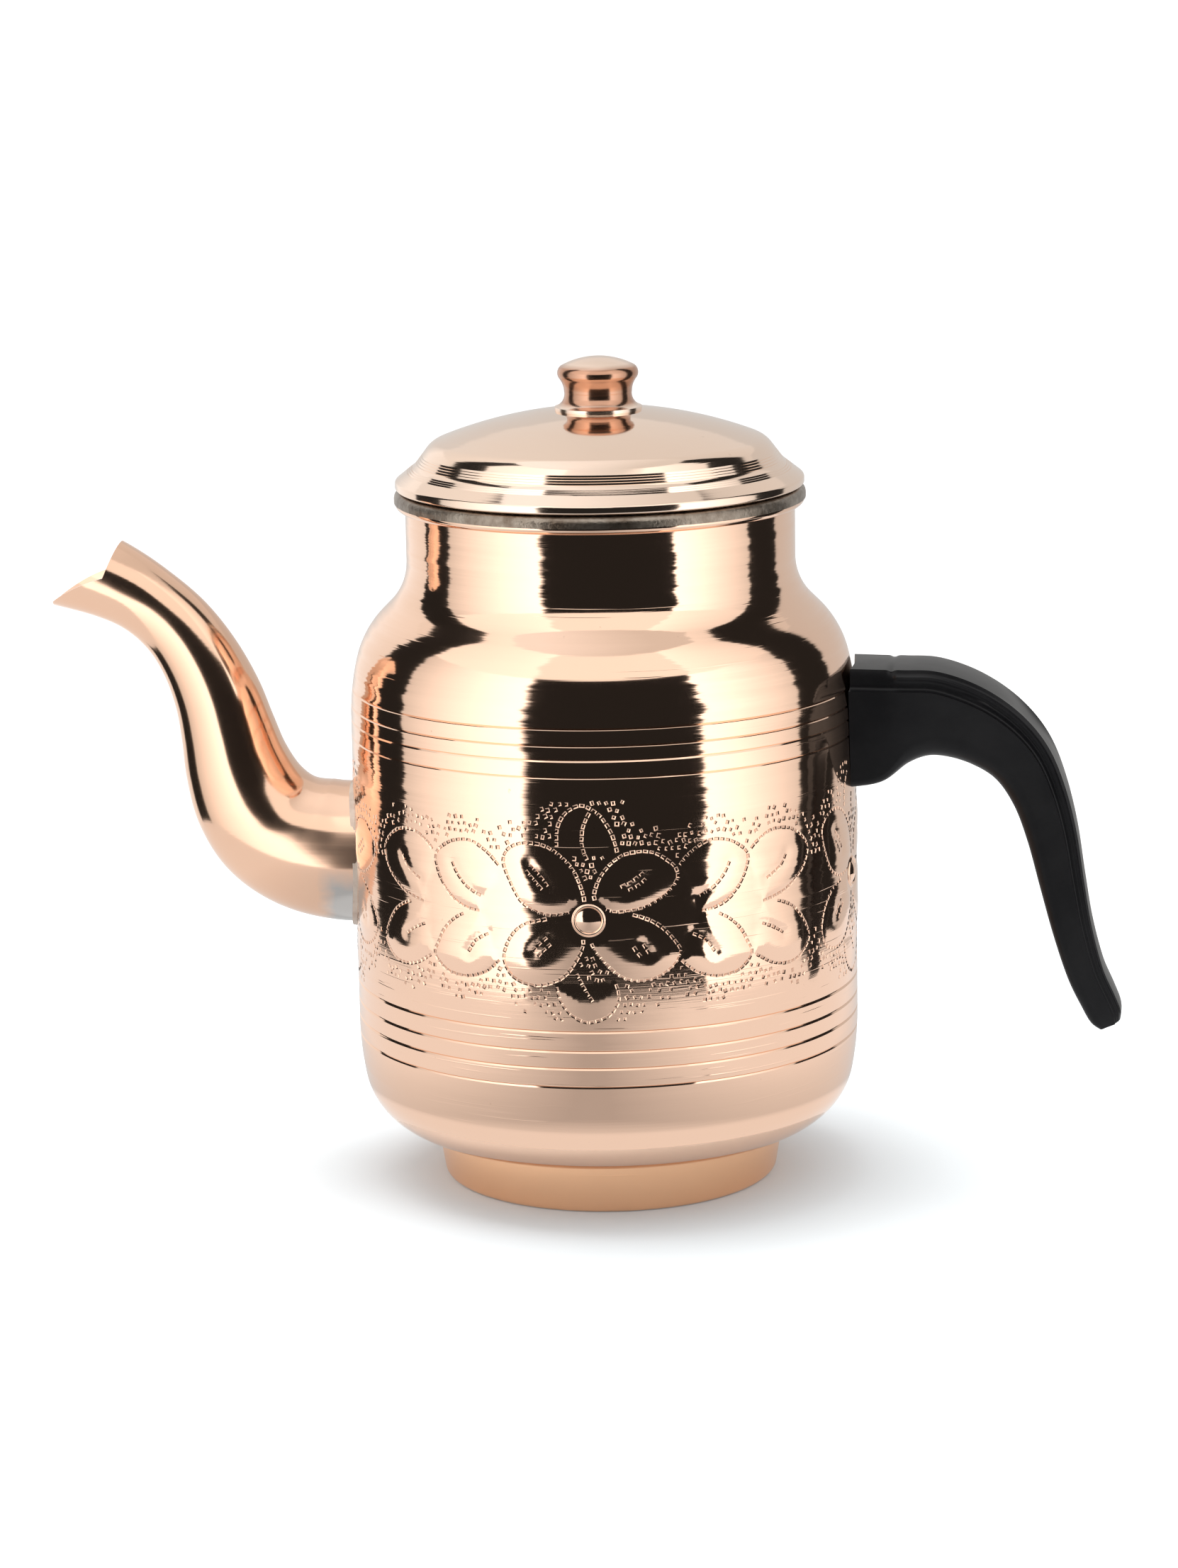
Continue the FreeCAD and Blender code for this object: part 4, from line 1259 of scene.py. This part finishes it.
floor_painted_shadow, nodes, links, shader = new_material("floor_painted_shadow", (0.93, 0.93, 0.93), 0.0, 0.9)
spread = nodes.new("ShaderNodeVectorMath")
spread.operation = "LENGTH"
links.new(node(nodes, "ShaderNodeTexCoord").outputs["Object"], spread.inputs[0])
# painted shadow: the floor's colour darkens and cools towards the pot
links.new(ramp(nodes, links, spread.outputs["Value"], (0.06, (0.73, 0.77, 0.79)), (0.11, (0.88, 0.91, 0.93)),
               (0.40, (0.93, 0.93, 0.93))), shader.inputs["Base Color"])
# painted light: a faint bluish glow round the pot, cancelling the copper's warm bounce
links.new(ramp(nodes, links, spread.outputs["Value"], (0.07, (0.01, 0.03, 0.045)),
               (0.12, (0.06, 0.10, 0.115)),
               (0.35, (0.0, 0.0, 0.0))), shader.inputs["Emission Color"])
shader.inputs["Emission Strength"].default_value = 1.0
SWEEP_AT, SWEEP_R, SWEEP_TOP = 1.4, 0.8, 4.0
profile = [(-4.0, 0.0), (SWEEP_AT, 0.0)]
profile += [(SWEEP_AT + SWEEP_R * math.sin(a), SWEEP_R * (1 - math.cos(a)))
            for a in np.linspace(0.1, math.pi / 2, 12)]
profile.append((SWEEP_AT + SWEEP_R, SWEEP_TOP))
turn_to_view = Matrix.Rotation(math.radians(VIEW_AZIMUTH), 3, "Z")
edges = [turn_to_view @ Vector((x, y, z)) for x in (-5.0, 5.0) for y, z in profile]
sheet("floor", edges, floor_painted_shadow)

# Brightness round the pot by azimuth from the camera's side: soft boxes, black flags and far cards
SURROUND = (
    (-180, 0.66), (-158, 0.75), (-146, 1.05), (-118, 0.95), (-117, 0.02), (-94, 0.02), (-93, 0.80), (-60, 1.5),
    (-33, 2.1), (-32, 0.02),
    (39.5, 0.02), (40.5, 2.0), (68, 1.3), (89, 0.85), (90, 0.02), (116, 0.02), (117, 0.66), (180, 0.66),
)
ABOVE = (
    (-180, 0.80), (-118, 0.95), (-117, 0.02), (-94, 0.02), (-93, 1.2), (-33, 1.6), (-32, 1.2), (39.5, 1.2),
    (40.5, 1.5), (89, 1.0), (90, 0.02), (116, 0.02), (117, 0.75), (180, 0.80),
)
BRIGHTEST = 2.1


def glowing(name):
    """A black card that shines by its own emission alone."""
    m, nodes, links, shader = new_material(name, (0, 0, 0), 0.0, 1.0)
    shader.inputs["Specular IOR Level"].default_value = 0
    shader.inputs["Emission Strength"].default_value = 1.0
    split = nodes.new("ShaderNodeSeparateXYZ")
    links.new(node(nodes, "ShaderNodeTexCoord").outputs["Object"], split.inputs[0])
    return m, nodes, links, shader, split.outputs


surround, nodes, links, shader, (x, y, z) = glowing("surround")
angle = calc(nodes, links, "ARCTAN2", x, calc(nodes, links, "MULTIPLY", y, -1.0))
turned_by = calc(nodes, links, "ADD", calc(nodes, links, "MULTIPLY", angle, 1 / (2 * math.pi)),
                      0.5 - VIEW_AZIMUTH / 360)
place = calc(nodes, links, "FRACT", turned_by)
level, upper_level = (ramp(nodes, links, place, *((0.5 + a / 360, tuple(v / BRIGHTEST * c for c in tint))
                                                   for a, v in table))
                      for table, tint in ((SURROUND, (1.0, 0.99, 0.97)), (ABOVE, (1.0, 0.98, 0.95))))
high = calc(nodes, links, "GREATER_THAN", z, FLAG_TOP)
links.new(blend(nodes, links, high, level, upper_level), shader.inputs["Emission Color"])
shader.inputs["Emission Strength"].default_value = BRIGHTEST
wall = [(R_CARD * math.sin(a), -R_CARD * math.cos(a), z)
        for z in (0.0, CARD_TOP) for a in np.linspace(-math.pi, math.pi, 181)]
sheet("surround", wall, surround, seen_by_camera=False)

ceiling_white, nodes, links, shader, (x, y, z) = glowing("ceiling")
links.new(ramp(nodes, links, calc(nodes, links, "ADD", x, 0.5), (0.3, (0.97, 0.98, 0.99)),
               (0.7, (0.72, 0.71, 0.69))),
          shader.inputs["Emission Color"])
shader.inputs["Emission Strength"].default_value = 1.1
square = [(-R_CARD, R_CARD), (R_CARD, R_CARD), (-R_CARD, -R_CARD), (R_CARD, -R_CARD)]
sheet("ceiling", [(x, y, CARD_TOP) for x, y in square], ceiling_white, seen_by_camera=False)

floor_card, nodes, links, shader, (x, y, z) = glowing("floor_card")
off_axis = calc(nodes, links, "ABSOLUTE", x)
far = ramp(nodes, links, calc(nodes, links, "MULTIPLY", off_axis, 3.0, clamp=True), (0.05, 0.50),
           (0.55, 0.95))
reach = nodes.new("ShaderNodeVectorMath")
reach.operation = "LENGTH"
links.new(node(nodes, "ShaderNodeTexCoord").outputs["Object"], reach.inputs[0])
near = ramp(nodes, links, reach.outputs["Value"], (0.10, 0.92), (0.15, 0.0))
links.new(calc(nodes, links, "MAXIMUM", far, near), shader.inputs["Emission Color"])
ring = []
for radius in (0.075, R_CARD):
    ring += [(radius * math.sin(a), -radius * math.cos(a), 0.0006) for a in np.linspace(0, 2 * math.pi, 73)]
sheet("floor_card", ring, floor_card, seen_by_camera=False)

world = bpy.data.worlds.new("studio")
world.use_nodes = True
world.node_tree.nodes["Background"].inputs["Color"].default_value = (1.0, 0.99, 0.98, 1)
world.node_tree.nodes["Background"].inputs["Strength"].default_value = 1.18
bpy.context.scene.world = world
bpy.context.scene.view_settings.view_transform = "Standard"


def area_light(name, place, aim, size, power):
    light = bpy.data.lights.new(name, "AREA")
    light.shape = "RECTANGLE"
    light.size, light.size_y = size
    light.energy = power
    lamp = bpy.data.objects.new(name, light)
    lamp.location = place
    lamp.rotation_mode = "QUATERNION"
    lamp.rotation_quaternion = (Vector(aim) - Vector(place)).to_track_quat("-Z", "Y")
    bpy.context.scene.collection.objects.link(lamp)
    return lamp


area_light("overhead", (-0.25, 0.1, 1.1), (0, 0, 0.1), (0.7, 0.7), 6.0)

# camera
camera_data = bpy.data.cameras.new("camera")
camera_data.sensor_width = 36.0
camera_data.lens = 103.16
camera = bpy.data.objects.new("camera", camera_data)
bpy.context.scene.collection.objects.link(camera)
bpy.context.scene.camera = camera
yaw, dip, roll = (math.radians(a) for a in (VIEW_AZIMUTH, 12.103, 1.031))
right = Vector((math.cos(yaw), math.sin(yaw), 0))
ahead = Vector((-math.sin(yaw) * math.cos(dip), math.cos(yaw) * math.cos(dip), -math.sin(dip)))
upward = right.cross(ahead)
cam_right = right * math.cos(roll) - upward * math.sin(roll)
cam_up = right * math.sin(roll) + upward * math.cos(roll)
turn = Matrix((cam_right, cam_up, -ahead)).transposed()
camera.matrix_world = Matrix.Translation(Vector((0.139187, -1.261927, 0.386499))) @ turn.to_4x4()
